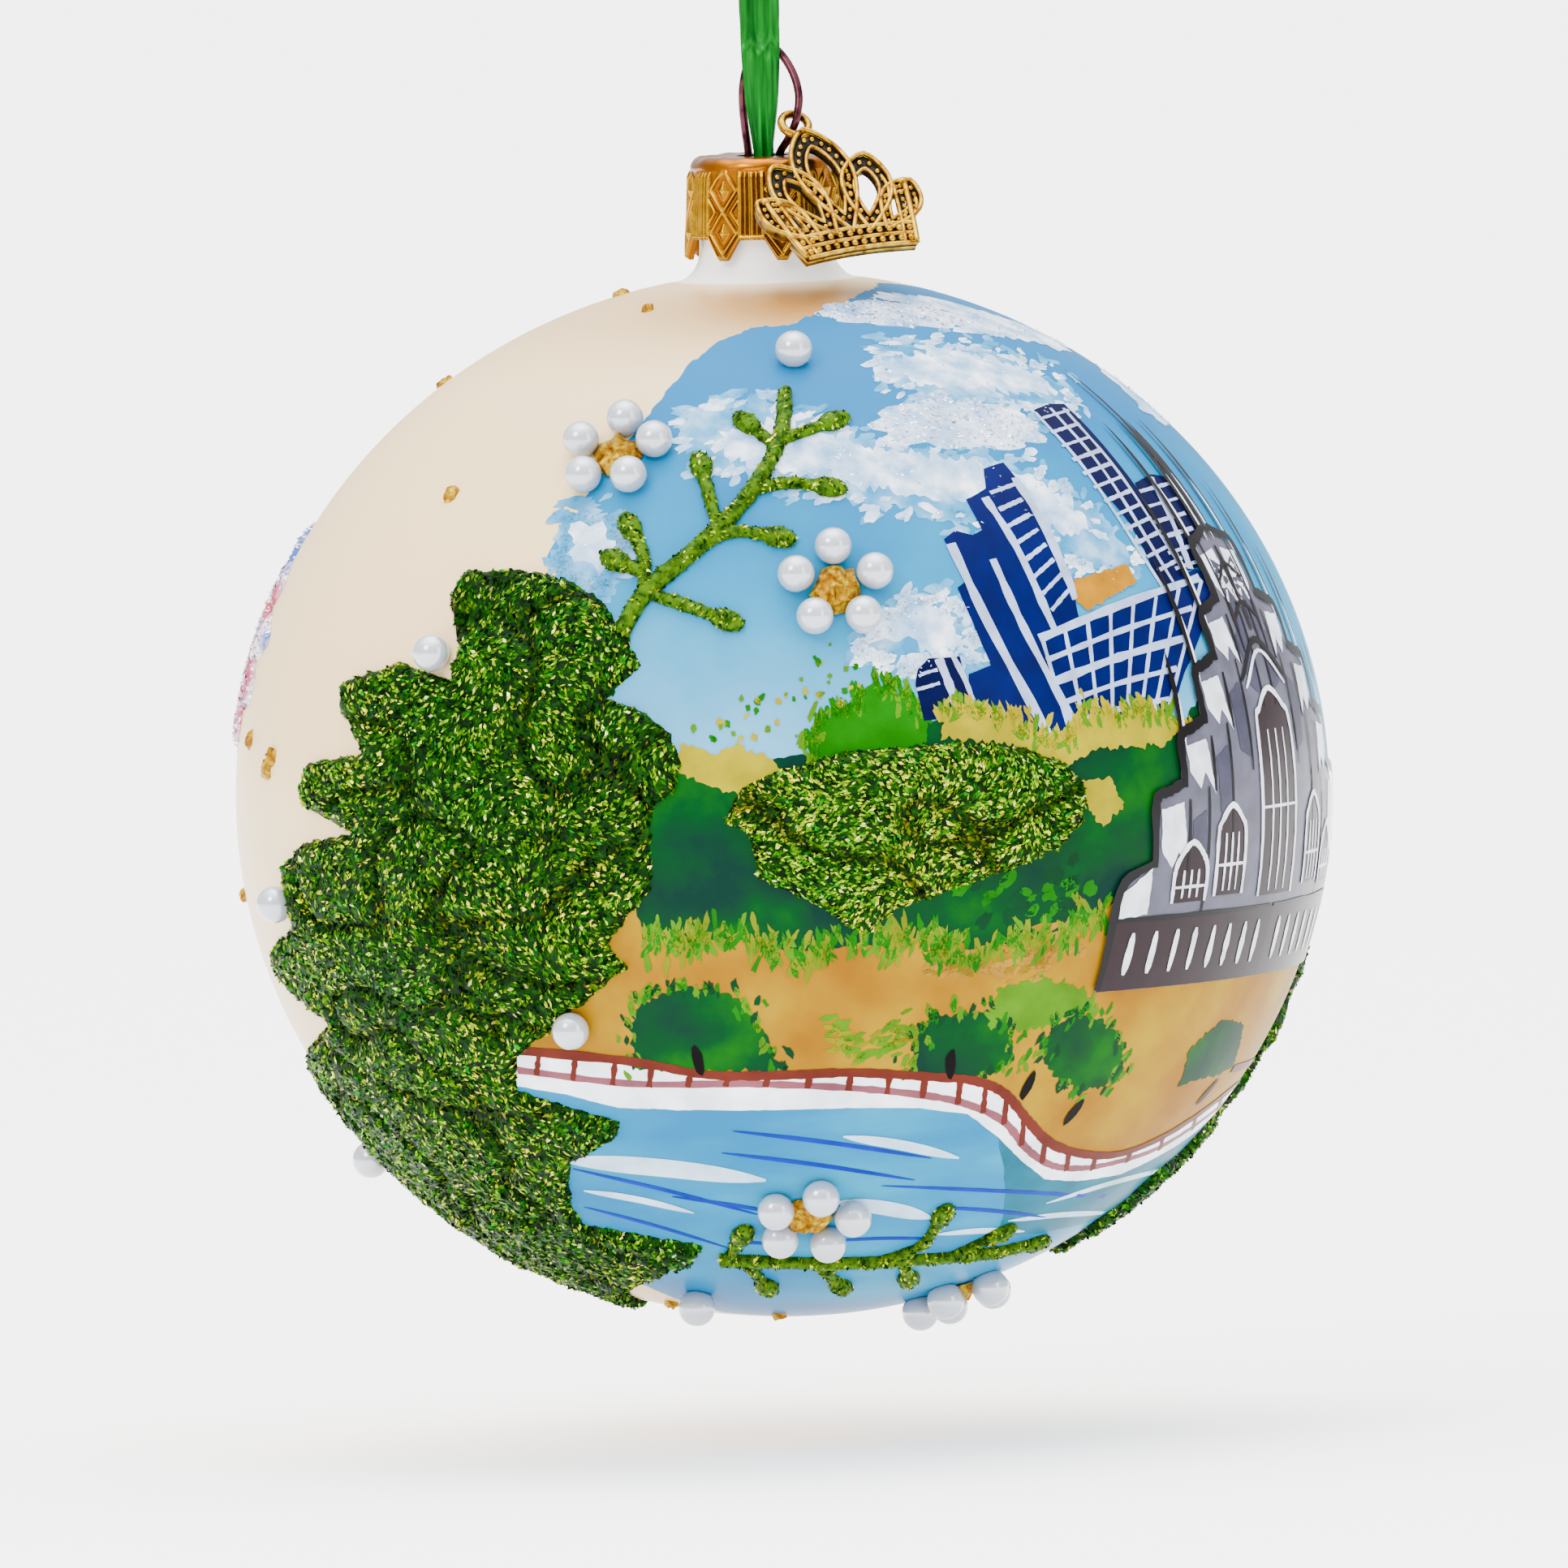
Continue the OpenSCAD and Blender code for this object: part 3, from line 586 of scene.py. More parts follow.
def ribbon():
    run = curve(RIBBON, 8)
    path = run[:, :3] + [0, 0, CAP_Z]
    # A satin ribbon gathered into lengthwise folds that shift a little along it.
    across = np.linspace(-1, 1, 25)
    out = np.cross(unit(np.gradient(path, axis=0)), [1.0, 0, 0])
    length = run_of(path)
    edge = 0.13 * np.sqrt(np.clip(1 - across**6, 0, 1))
    build = Build()
    rings = []
    for p, half, s, away in zip(path, run[:, 3], length, out):
        fold = 0.2 * np.sin(across * 6.3 + 0.11 * s) + 0.1 * np.sin(across * 13.0 - 0.23 * s + 1)
        fold = fold * (0.6 + 0.4 * np.abs(across)) + 0.14 * across**2
        middle = p + np.outer(across * half, [1.0, 0, 0])
        front, back = middle + np.outer(fold + edge, away), middle + np.outer(fold - edge, away)
        rings.append(np.vstack([front, back[-2:0:-1]]))
    rows, cols = len(rings), len(rings[0])
    faces = quads(rows, cols, flip=True)
    faces += [tuple(range(cols)), tuple((rows - 1) * cols + a for a in range(cols - 1, -1, -1))]
    build.add(np.concatenate(rings), faces)
    satin = material("satin", rough=0.4)
    # Lighter and darker lengthwise streaks that follow the bump are painted sheen and shade on the satin.
    sheen_streak = noise_of(satin, 1.6, 3.0, (1.0, 1.0, 0.06))
    greens = [(0, 100, 44), (0, 148, 64), (0, 180, 84), (40, 224, 124)]
    toned(satin, sheen_streak, [(0.3 + 0.15 * k, srgb(*c)) for k, c in enumerate(greens)])
    bump(satin, sheen_streak, 0.35, 0.12)
    obj = build.make("satin_ribbon", satin, None, ["ribbon_upper", "ribbon_lower"], "satin_ribbon")
    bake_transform(obj)
    knot(satin)


def knot(satin):
    """The two ends tied in an overhand knot under the cap, with their tails."""
    build = Build()
    centre = np.array([-0.95, -1.75, -4.1 + CAP_Z])
    t = circle(60)
    trefoil = [np.sin(t) + 2 * np.sin(2 * t), np.cos(t) - 2 * np.cos(2 * t), -1.6 * np.sin(3 * t)]
    tube(build, centre + np.stack(trefoil, 1) * 0.26, (0.62, 0.5), close=True)
    globe(build, centre, 0.95)
    for side in (-1, 1):
        tail = [(0, 0, 0), (0.5 * side, 0.6, -1.7), (0.75 * side, 1.0, -3.2), (0.95 * side, 1.1, -4.5)]
        tube(build, centre + curve(tail, 6), (0.5, 0.22))
    build.make("ribbon_knot_tied", satin, "hanger", ["ribbon_knot"], "satin_ribbon")


# ---- cap, wire, spring legs -----------------------------------------------
STRIP = 1.62  # half width of each strip of diamonds


def diamond(x, z, wide, tall):
    """How far a point lies from the outline of a diamond of these half sizes."""
    return np.abs(np.abs(x) / wide + np.abs(z) / tall - 1) * wide * tall / math.hypot(wide, tall)


def embossing(s, z, tip, spread=1.0):
    """Height of the stamped pattern, s along the skirt from a pendant's middle and z from the top."""

    def ridge(gap, wide):
        return np.clip(1 - (gap / wide / spread) ** 2, 0, 1)

    strip = np.abs(s) < STRIP
    diamonds = [np.zeros_like(s)]
    for middle in (-2.9, -6.8):
        diamonds.append(ridge(diamond(s, z - middle, 1.35, 1.95), 0.22))
        diamonds.append(np.clip(1.3 * (1 - np.abs(s) / 0.62 - np.abs(z - middle) / 0.95), 0, 1))
    for x in (-1.55, 1.55):
        diamonds.append(ridge(diamond(s - x, z + 4.85, 0.75, 1.1), 0.18))
    high = np.where(strip, np.max(diamonds, axis=0), 0)
    high = np.maximum(high, ridge(np.abs(s) - STRIP, 0.16) * (z < -1.2) * (z > tip + 0.2))
    flutes = 0.85 * ridge((np.abs(s) - 2.0) % 0.42 - 0.21, 0.16)
    high = np.maximum(high, np.where(~strip & (z < -1.3), flutes, 0))
    border = np.clip(1 - ((z - tip - 0.28) / 0.2) ** 2, 0, 1)
    return np.maximum(high, border)


def cap():
    steps, rows, pendants = 768, 110, 8
    build = Build()
    theta = circle(steps)
    period = 2 * math.pi / pendants
    first = math.radians(12 - 90)  # heading of a pendant's middle
    wall, flare, mean_radius = 0.35, 0.5, 7.0
    pendant_z, notch = -9.3, 1.9  # each pendant's tip, and how much higher the gaps are
    s = ((theta - first + period / 2) % period - period / 2) * mean_radius
    tip = pendant_z + notch * np.clip((np.abs(s) - 0.45) / (1.6 - 0.45), 0, 1)
    top = [(2.5, 0.0), (3.2, 0.02), (4.2, -0.02), (5.2, 0.0)]
    top += [(5.75 + math.sin(a), -1 + math.cos(a)) for a in np.linspace(0, math.pi / 2, 9)]
    tones = []
    # Gold for painted shade, plain gold, and a brighter gold for painted highlight.
    painted_shade_gold, mid, bright = (np.array(srgb(*c)) for c in ((150, 84, 4), (232, 164, 16), (252, 208, 50)))
    # The thin metal is a little dented, most at the shoulder.
    wander = 0.06 * np.sin(3 * theta + 1) + 0.05 * np.sin(7 * theta) + 0.03 * np.sin(17 * theta + 2)
    rings = [around(r, theta, z + wander * min(1, (r - 2.5) / 3)) for r, z in top]
    for share in np.linspace(0.012, 1, rows):
        z = -1 + (tip + 1) * share
        r = 6.4 + wall + flare * (-z - 1) / 8.3 + 0.05 * np.sin(5 * theta + 3 * share)
        fade = min(1, share * 9)
        high = embossing(s, z, tip) * fade
        # Raised stamping is coloured brighter as a painted highlight, and the hollows beside it darker as
        # painted shade.
        edge = np.clip(high / 0.35, 0, 1)[:, None]
        crease = (embossing(s, z, tip, 1.9) * (1 - high))[:, None] * fade
        tones.append((mid * (1 - edge) + bright * edge) * (1 - crease) + painted_shade_gold * crease)
        rings.append(around(r + 0.3 * high, theta, z + wander * (1 - share)))
    inner = []
    for share in (1.0, 0.8, 0.5, 0.2, 0.02):
        z = -1 + (tip + 1) * share
        inner.append(around(6.4 + flare * (-z - 1) / 8.3, theta, z))
    for r, z, dent in ((6.2, -0.6, 0.5), (5.6, -0.36, 0), (2.5, -0.35, 0), (2.5, 0.0, 0)):
        inner.append(around(r, theta, z + wander * dent))
    rings += inner
    build.add(np.concatenate(rings) + [0, 0, CAP_Z], quads(len(rings), steps, flip=True))
    gold = tinted("stamped_gold", 0.27, 1.0, 0.45)
    bump(gold, noise_of(gold, 0.6, 2.0), 0.2, 0.2)
    plain = [np.tile(mid, (len(part) * steps, 1)) for part in (top, inner)]
    tones = np.concatenate([plain[0], *tones, plain[1]])
    build.make("stamped_cap", gold, "hanger", ["cap"], "gold_cap", tones=tones)


WIRE = 0.375  # half the wire's thickness
# The wire's path above the cap's top: up from one hole, over, out to the charm and down again.
EYE = [
    (-1.35, 0.75, -0.4), (-1.4, 0.7, 0.6), (-1.6, 0.5, 2.4), (-1.75, 0.3, 4.4), (-1.7, 0.1, 6.2),
    (-1.3, -0.1, 8), (-0.5, -0.3, 9.4), (0.5, -0.5, 9.9), (1.5, -0.8, 9.6), (2.4, -1.4, 8.5),
    (3.1, -2.1, 7), (3.4, -2.7, 5.4), (3.25, -3.1, 4), (2.95, -3.15, 2.85), (2.3, -2.4, 1.5),
    (1.6, -1.2, 0.4), (1.35, -0.75, -0.4),
]


def wires():
    copper = material("dark_copper", rough=0.3, metal=0.9)
    toned(copper, noise_of(copper, 0.8, 3.0), [(0.35, srgb(66, 42, 50)), (0.6, srgb(128, 88, 96))])
    build = Build()
    tube(build, curve(EYE, 8) + [0, 0, CAP_Z], WIRE, [0.0, 1.0, 0.0])
    build.make("bent_wire", copper, "hanger", ["wire_eye"], "copper_wire")
    bow, top, deep, start = 54.0, -0.6, 22.0, 1.55
    for side, turn in (("left", 151), ("right", -29)):
        sweep = np.linspace(0, math.asin((deep + top) / bow), 26)
        heading = np.array([math.cos(math.radians(turn)), math.sin(math.radians(turn))])
        reach = start + bow * (1 - np.cos(sweep))
        line = np.column_stack([np.outer(reach, heading), top - bow * np.sin(sweep) + CAP_Z])
        build = Build()
        tube(build, line, WIRE, [-heading[1], heading[0], 0.0])
        globe(build, line[-1], 0.5)
        name = side + "_spring_leg"
        build.make(name + "_wire", copper, side + "_leg", [name], "copper_wire")


# ---- crown charm ----------------------------------------------------------
def charm_place(points):
    """Puts points of the charm's own plane in the frame: x across, y up from the eyelet, n outward."""
    turn = Matrix.Rotation(math.radians(20), 3, "Z")
    turn = turn @ Matrix.Rotation(math.radians(47), 3, "X") @ Matrix.Rotation(math.radians(7), 3, "Z")
    return np.asarray(points, float) @ np.array(turn).T + np.array([2.95, -3.15, 2.85 + CAP_Z])


def leaf_line(width, height, base, lean, grow=0.0):
    """A pointed oval standing on its lower point at base, leaning by lean degrees, shrunk by -grow."""
    t = np.linspace(0, 1, 40)
    half = width / 2 * np.sin(math.pi * t**1.35) ** 0.72
    x = np.concatenate([half, -half[-2:0:-1]]) * ((width / 2 + grow) / (width / 2))
    y = np.concatenate([t, t[-2:0:-1]]) * height
    y = height / 2 + (y - height / 2) * ((height / 2 + 1.6 * grow) / (height / 2))
    cos, sin = math.cos(math.radians(lean)), math.sin(math.radians(lean))
    return np.stack([base[0] + x * cos + y * sin, base[1] - x * sin + y * cos], 1)


def band_of(build, outer, inner, low, high):
    """A closed ring of metal between two outlines with the same number of points."""
    rows = [(outer, low), (outer, high), (inner, high), (inner, low)]
    verts = np.concatenate([np.column_stack([o, np.full(len(o), z)]) for o, z in rows])
    build.add(charm_place(verts), quads(4, len(outer), close=True, flip=True))


def charm():
    gold, dark = Build(), Build()
    foot = -16.4
    face, rear = 0.95, -0.15
    outward = charm_place([[0, 0, 1]])[0] - charm_place([[0, 0, 0]])[0]

    def rail(points, size=0.24, close=False, height=face, build=gold):
        p = np.column_stack([points, np.full(len(points), height)])
        tube(build, charm_place(p), size, outward, close)

    def beads(points, count, share, size, height=face + 0.02):
        """Beads spread evenly along a line, less a share of its length at each end."""
        run = run_of(points)
        at = np.linspace(share, 1 - share, count) * run[-1]
        for x, y in zip(np.interp(at, run, points[:, 0]), np.interp(at, run, points[:, 1])):
            globe(gold, charm_place([[x, y, height]])[0], size, rows=7, cols=10)

    leaves = [(5.6, 12.5, (0, foot + 2.5), 0, 1.3, 24)]
    for w, h, x, y, lean, rim in ((4.7, 9.4, 1.7, 2.3, 18, 1.15), (3.7, 6.9, 3.3, 2.1, 40, 0.95)):
        leaves += [(w, h, (side * x, foot + y), side * lean, rim, 16) for side in (1, -1)]
    for w, h, base, lean, rim, count in leaves:
        outer, inner = leaf_line(w, h, base, lean), leaf_line(w, h, base, lean, -rim)
        band_of(dark, outer, inner, rear + 0.1, face - 0.22)
        band_of(gold, outer, leaf_line(w, h, base, lean, -0.12), rear, face - 0.1)
        rail(outer, 0.24, True)
        rail(inner, 0.2, True, face - 0.08)
        middle = leaf_line(w, h, base, lean, -rim / 2)
        beads(np.vstack([middle, middle[:1]]), count, 0.03, 0.27, face - 0.12)
        if lean:
            # A scroll hooked over inside the lobe.
            rail(outer[20:34] * 0.86 + np.array(base) * 0.14, 0.2)

    def bow(y, half):
        x = np.linspace(-half, half, 26)
        return np.column_stack([x, foot + y + 0.35 * (1 - (x / half) ** 2)])

    # Base band: curved rails with two rows of beads between them, on a dark plate.
    plate = np.vstack([bow(0.05, 5.5), bow(2.45, 6.2)[::-1]])
    n = len(plate)
    for build, low, high in ((dark, face - 0.5, face - 0.2), (gold, rear, face - 0.5)):
        verts = charm_place(np.vstack([np.column_stack([plate, np.full(n, z)]) for z in (low, high)]))
        build.add(verts, quads(2, n) + [tuple(range(n, 2 * n)), tuple(range(n - 1, -1, -1))])
    for y, half in ((0.1, 5.5), (1.25, 5.85), (2.45, 6.2)):
        rail(bow(y, half))
    for y, half in ((0.68, 5.4), (1.85, 5.75)):
        beads(bow(y, half), 12, 0.03, 0.36)
    for side in (-1, 1):
        line = [(5.5 * side, 0.2), (6.1 * side, 2.6), (6.6 * side, 5), (7.0 * side, 7)]
        bar = curve(line, 8) + [0, foot]
        rail(bar, 0.3)
        rail(bar - [1.1 * side, -0.1], 0.22)
        beads(bar - [0.55 * side, -0.05], 9, 0.04, 0.24)
        globe(gold, charm_place([[6.95 * side, foot + 7.3, face - 0.2]])[0], 0.55, rows=9, cols=14)
        rail(bar - [0.55 * side, 0], (0.5, 0.35), height=0.45, build=dark)
    t = circle(36)
    rail(np.column_stack([1.25 * np.cos(t), 1.25 * np.sin(t)]), 0.4, True, 0)
    tube(gold, charm_place(curve([(0, -1.5, 0.1), (0, -1.9, 0.35), (0, -2.3, 0.6)], 4)), 0.5)
    metal = material("antique_gold", rough=0.3, metal=1.0)
    tones = [(0.3, srgb(120, 84, 16)), (0.42, srgb(226, 178, 52)), (0.66, srgb(248, 216, 96))]
    toned(metal, noise_of(metal, 1.2, 4.0), tones)
    bump(metal, noise_of(metal, 3.0, 3.0), 0.3, 0.08)
    gold.make("charm_gold", metal, "charm", ["crown_charm"], "antique_gold")
    dark.make("charm_recess", material("charm_black", (0.012, 0.011, 0.01), 0.45, 0.3), "charm")


# ---- ball -----------------------------------------------------------------
def ease(x, low, high):
    """A smooth step from 0 at low to 1 at high."""
    t = np.clip((x - low) / (high - low), 0, 1)
    return t**2 * (3 - 2 * t)


def ball():
    outer = [(A * math.cos(t), C * math.sin(t)) for t in np.radians(np.linspace(-89.9, 79, 150))]
    foot = [(8.9 - 2.8 * math.cos(t), 50 - 3 * math.sin(t)) for t in np.linspace(math.pi / 2, 0, 9)]
    rim = [(6.1, 52), (6.1, 55), (6.1, 57.85), (6.0, 58.05), (5.4, 58.05), (5.3, 57.85), (5.3, 47.4)]
    glass = 0.9
    angles = np.radians(np.linspace(80, -89.9, 40))
    inner = [((A - glass) * math.cos(t), (C - glass) * math.sin(t)) for t in angles]
    build = Build()
    lathe(build, np.array(outer + foot + rim + inner) + [0, BALL_Z], 240)
    v = np.concatenate(build.verts) - [0, 0, BALL_Z]
    radius = np.hypot(v[:, 0], v[:, 1])
    az = np.degrees(np.arctan2(v[:, 0], -v[:, 1]))
    cream, shade_peach, brown, white = (
        np.array(srgb(*c)) for c in ((255, 234, 194), (246, 214, 176), (228, 170, 36), (250, 248, 244))
    )
    # Cream lacquer with peach painted shade below, a brown ring sprayed round the neck and a bare white
    # neck.
    low = ease(-v[:, 2], 0, 45)
    ring = ease(radius, 7.5, 13) * (1 - ease(radius, 15, 30)) * (v[:, 2] > 0)
    ring *= 0.3 + 0.7 * np.exp(-(((az - 10) / 45) ** 2))
    neck = (v[:, 2] > 47.1) & (radius < 10)
    tone = cream
    for colour, share in ((shade_peach, 0.6 * low), (brown, 0.9 * ring), (white, neck.astype(float))):
        tone = tone * (1 - share[:, None]) + colour * share[:, None]
    skin = tinted("lacquered_glass", 0.32, spec=0.15, sub=0.15)
    build.make("blown_glass", skin, "ball", ["glass_ball"], "painted_glass", tones=tone)


# ---- pearls and gold ------------------------------------------------------
# Each flower's place on the glass and its turn.
FLOWERS = {
    "upper": (seen([(-14.9, 30.5)])[0], 0),
    "middle": (seen([(4.8, 18.5)])[0], 0),
    "lower": (seen([(2.6, -38)])[0], -12),
    "bottom": (at_heading([(62, -70)])[0], 10),
    "back": (at_heading([(184, 30)])[0], 20),
}
SINGLES = [(1, 39.3), (-31, 12.4), (-18.7, -20.9), (-45, -9.8), (-37.5, -33.3), (-7.6, -45.6)]
FLECKS = [
    (-14.8, 45.6, 0.8), (-12.2, 44.1, 0.6), (-30.9, 37.7, 0.9), (-30.1, 27.2, 0.9), (-48.5, 5, 0.9),
    (-46.9, 2.2, 1.1), (-46.4, 3.4, 0.9), (-49.8, -9.4, 0.7), (-10.1, -46.4, 0.8), (-0.3, -47.5, 0.8),
]
BACK_FLECKS = [
    (240, 62, 0.8), (214, 58, 1), (188, 55, 0.7), (222, -16, 1), (214, -30, 0.9), (200, -8, 0.7),
    (246, -40, 0.9), (190, -52, 0.8), (178, 8, 0.8),
]
PEARL = 1.7


def pearl(build, q):
    right, up = (t[0] for t in tangents(q[None]))
    centre = lifted(q[None], PEARL * 0.76)[0]
    globe(build, centre, PEARL, [right, up, normals(q)], rows=20, cols=32, low=-0.75)


def pearls():
    lustre = material("pearl_lustre", (0.4, 0.42, 0.47), 0.2, coat=1.0, spec=0.9, metal=0.25)
    stops = [(0.3, srgb(170, 116, 0)), (0.5, srgb(232, 184, 0)), (0.68, srgb(252, 232, 70))]
    gold = mottled("gold_glitter", stops, 1.6, 0.28, 0.8, 0.15, metal=0.5)
    for name, (q, turn) in FLOWERS.items():
        right, up = (t[0] for t in tangents(q[None]))
        build = Build()
        for i in range(5):
            a = math.radians(90 + turn + 72 * i)
            pearl(build, onto_glass(q + (right * math.cos(a) + up * math.sin(a)) * 3.7))
        build.make(name + "_pearls", lustre, "ball", [name + "_flower_pearls"], "pearl")
        build = Build()
        disc(build, q, 2.25, 0.2, 1.1, 15, 0.2)
        build.make(name + "_centre", gold, "ball", [name + "_flower_centre"], "gold_glitter", smooth=False)
    build = Build()
    for at in seen(SINGLES):
        pearl(build, at)
    build.make("loose_pearls", lustre, "ball", ["single_pearls"], "pearl")
    build = Build()
    for place, flecks in ((seen, FLECKS), (at_heading, BACK_FLECKS)):
        for x, y, r in flecks:
            disc(build, place([(x, y)])[0], r, 0.02, 0.5, 11, 0.22)
    build.make("gold_dots", gold, "ball", ["gold_flecks"], "gold_glitter", smooth=False)


# ---- glitter relief -------------------------------------------------------
# Outlines and twigs as (u, w) seen from the front.
BIG_TREE = [
    (-28.5, 20.2), (-23.3, 20.2), (-19.6, 19.5), (-16.3, 17.5), (-13.8, 13.8), (-12.8, 11.6),
    (-15.9, 8.6), (-12.9, 7.6), (-10, 5.4), (-9.2, 2.8), (-9.6, 0.6), (-11.8, -1.6), (-11.9, -8.7),
    (-15.9, -13.5), (-14, -15.7), (-20.3, -20.9), (-24, -23.9), (-24, -26.9), (-14.8, -29.7),
    (-15.1, -31.3), (-19.2, -33.5), (-19.2, -37.2), (-18.1, -39.1), (-7.2, -41), (-8.2, -42.6),
    (-12.2, -46.5), (-24, -43), (-43, -24), (-40.7, -20.9), (-45.6, -16.5), (-46.3, -13.9),
    (-44.1, -12), (-45.2, -6.5), (-43.7, -4.6), (-38.9, -3.5), (-43.7, -0.9), (-43, 2.8), (-37.8, 3.6),
    (-40, 8), (-39.6, 10.2), (-34.4, 11.9), (-30, 10.2), (-29.2, 13.2), (-30.1, 17.7),
]
BUSH = [
    (-5.5, -2.4), (-3.6, 0.6), (-0.3, 2.1), (6.4, 3.9), (16, 4.7), (21.2, 4.3), (25.7, 2.8),
    (27.5, 0.6), (27.2, -2.4), (24.9, -5), (17.5, -7.9), (10.1, -10.5), (7.5, -12.8), (2.7, -9.8),
    (-2.2, -7.6), (-2.9, -3.5),
]
BRANCH = [
    [(-14.6, 14.4), (-12.2, 18.2), (-7.7, 22.1), (-3.3, 26.6), (-0.3, 31.8), (0.3, 36.4)],
    [(-5.9, 24.3), (-7.3, 29.5)], [(-2.9, 27.3), (0.5, 28), (4.2, 27.6)],
    [(-7.7, 22.1), (-4.4, 23.6), (-0.4, 23.1)], [(-12, 18), (-8.5, 16.9), (-5, 15.6)],
    [(-12.5, 17.6), (-12.5, 21.4), (-13.7, 24)], [(-12.5, 19.9), (-15, 21)],
    [(-0.6, 31.4), (-3.2, 33.4)], [(-0.4, 31.8), (4.6, 33.6)],
]
VINE = [
    [(-5.6, -42.1), (5.6, -42.4), (17.5, -41.7), (23, -40.7)], [(-4.7, -41.8), (-3.6, -39.9)],
    [(-3.6, -42.1), (-1.4, -44.6)], [(2.7, -42.1), (5.3, -44.6)],
    [(9, -42.2), (12.6, -40.8), (14.5, -38.1)], [(15.4, -41.8), (19.7, -39.8)],
    [(10.8, -42.1), (11.4, -43.9)],
]
# Flake colours; the nearly white yellow ones at the light end stand for sparkle, as painted highlight.
GREENS = [
    srgb(14, 56, 8), srgb(46, 108, 14), srgb(92, 156, 26), srgb(150, 206, 30), srgb(226, 240, 50),
    srgb(255, 252, 150), srgb(30, 196, 76),
]
LIMES = [srgb(44, 84, 0), srgb(110, 156, 0), srgb(176, 206, 0), srgb(226, 234, 0), srgb(252, 252, 120)]
PASTELS = [
    srgb(250, 250, 252), srgb(226, 232, 246), srgb(240, 196, 210), srgb(176, 206, 240),
    srgb(204, 240, 226),
]


def scalloped(rx, ry, lobes, deep, at=(0, 0)):
    """An oval outline with rounded lobes."""
    t = np.radians(np.arange(0, 360, 360 / lobes / 5))
    r = 1 - deep + deep * np.abs(np.sin(t * lobes / 2))
    return np.stack([at[0] + rx * np.cos(t) * r, at[1] + ry * np.sin(t) * r], 1)


def twig(build, strokes, width):
    """Lines of paste with a bud on each tip. The first is the stem."""
    for k, s in enumerate(strokes):
        line = seen(curve(s, 7))
        size = width * (0.9 if k else 1.15) * (1 + 0.12 * rng.uniform(-1, 1, len(line)))
        if k == 0:
            size *= np.linspace(1.15, 0.9, len(line))
        tube(build, lifted(line, 0.25), np.stack([size, size], 1) / 2)
        end, along = line[-1], unit(line[-1] - line[-3])
        n = normals(end)
        if k or width < 1.2:
            bud = [along, unit(np.cross(n, along)), n]
            globe(build, lifted(end[None], 0.3)[0], (1.75, 1.05, 0.75), bud, rows=9, cols=12)


def reliefs():
    """Each thing drawn in glitter: a swollen patch of tinted glue with flakes strewn on it."""
    greens = [(0.35, srgb(6, 34, 4)), (0.52, srgb(26, 78, 8)), (0.7, srgb(70, 130, 14))]
    paste = mottled("green_paste", greens, 1.1, 0.35, 0.6, 0.2)
    limes = [(0.35, srgb(56, 96, 0)), (0.6, srgb(136, 178, 0))]
    lime = mottled("lime_paste", limes, 1.4, 0.35, 0.6, 0.15)
    pinks = [(0.4, srgb(238, 130, 160)), (0.5, srgb(246, 236, 244)), (0.6, srgb(130, 160, 236))]
    pastel = mottled("pastel_paste", pinks, 0.12, 0.4, 0.7, 0.2)
    pales = [(0.35, srgb(176, 210, 244)), (0.6, srgb(226, 236, 248))]
    frost = mottled("clear_paste", pales, 0.3, 0.4, 0.7, 0.2)
    glint = tinted("glitter_flakes", 0.3, 0.42, spec=0.0)
    soft = tinted("pastel_flakes", 0.25, 0.3)
    back, rear, high = viewpoint(108, -8), viewpoint(-112, 18), viewpoint(20, 45)
    crowns = [(15, 15, 11, 0.14, (8, 6)), (17, 14, 11, 0.14, (4, -16)), (14, 8, 9, 0.14, (-4, -31))]
    petals = [(26, 13, 14, 0.16), (12, 9, 9, 0.16, (-8, 9))]
    puffs = [(9, 3.4, 9, 0.12, (6, 1)), (8, 3, 9, 0.12, (6, 19))]
    crowns, petals, puffs = (
        [chart(scalloped(*part), view) for part in parts]
        for parts, view in ((crowns, back), (petals, rear), (puffs, high))
    )
    # Name, outlines, paste, node, slot, swell, lumps, then the flakes: count, size, palette, weights, look.
    heavy, sunny = [3, 4, 5, 4, 2.6, 0.7, 0.6], [1, 2, 4, 5, 5, 1.4, 1]
    green = ("green_glitter", 0.95, 0.75)
    for name, outlines, paint, of, (slot, swell, lumps), *flake in (
        ("tree", [chart(BIG_TREE)], paste, "big_tree", green, 30000, 0.72, GREENS, heavy, glint),
        ("bush", [chart(BUSH)], paste, "bush", green, 6000, 0.66, GREENS, sunny, glint),
        ("rear_tree", crowns, paste, "back_tree", green, 18000, 0.72, GREENS, heavy, glint),
        ("blossom", petals, pastel, "blossom_patch", ("pastel_glitter", 0.55, 0.08),
         6500, 0.6, PASTELS, [4, 2, 2, 2, 1], soft),
        ("cloud", puffs, frost, "sky_glitter", ("clear_glitter", 0.12, 0.02),
         900, 0.5, PASTELS, [6, 3, 1, 2, 1], soft),
    ):
        build = Build()
        for k, outline in enumerate(outlines):
            patch(build, rough(outline, 0.7, 0.28, 3.0 + k, 0.8), 0.02, 1.1, swell, 1.3, lumps)
        base = build.make(name + "_paste", paint, "ball", [of], slot)
        flakes(name + "_glitter", base, *flake, drift=0.9 if lumps > 0.3 else 0.0)
    twigs = (("branch", BRANCH, 1.3, "upper_branch"), ("vine", VINE, 1.15, "lower_vine"))
    for name, strokes, width, of in twigs:
        build = Build()
        twig(build, strokes, width)
        base = build.make(name + "_paste", lime, "ball", [of], "lime_glitter")
        flakes(name + "_glitter", base, 2600, 0.62, LIMES, [4, 4, 4, 2.5, 1], glint, 0.5, 0.06)


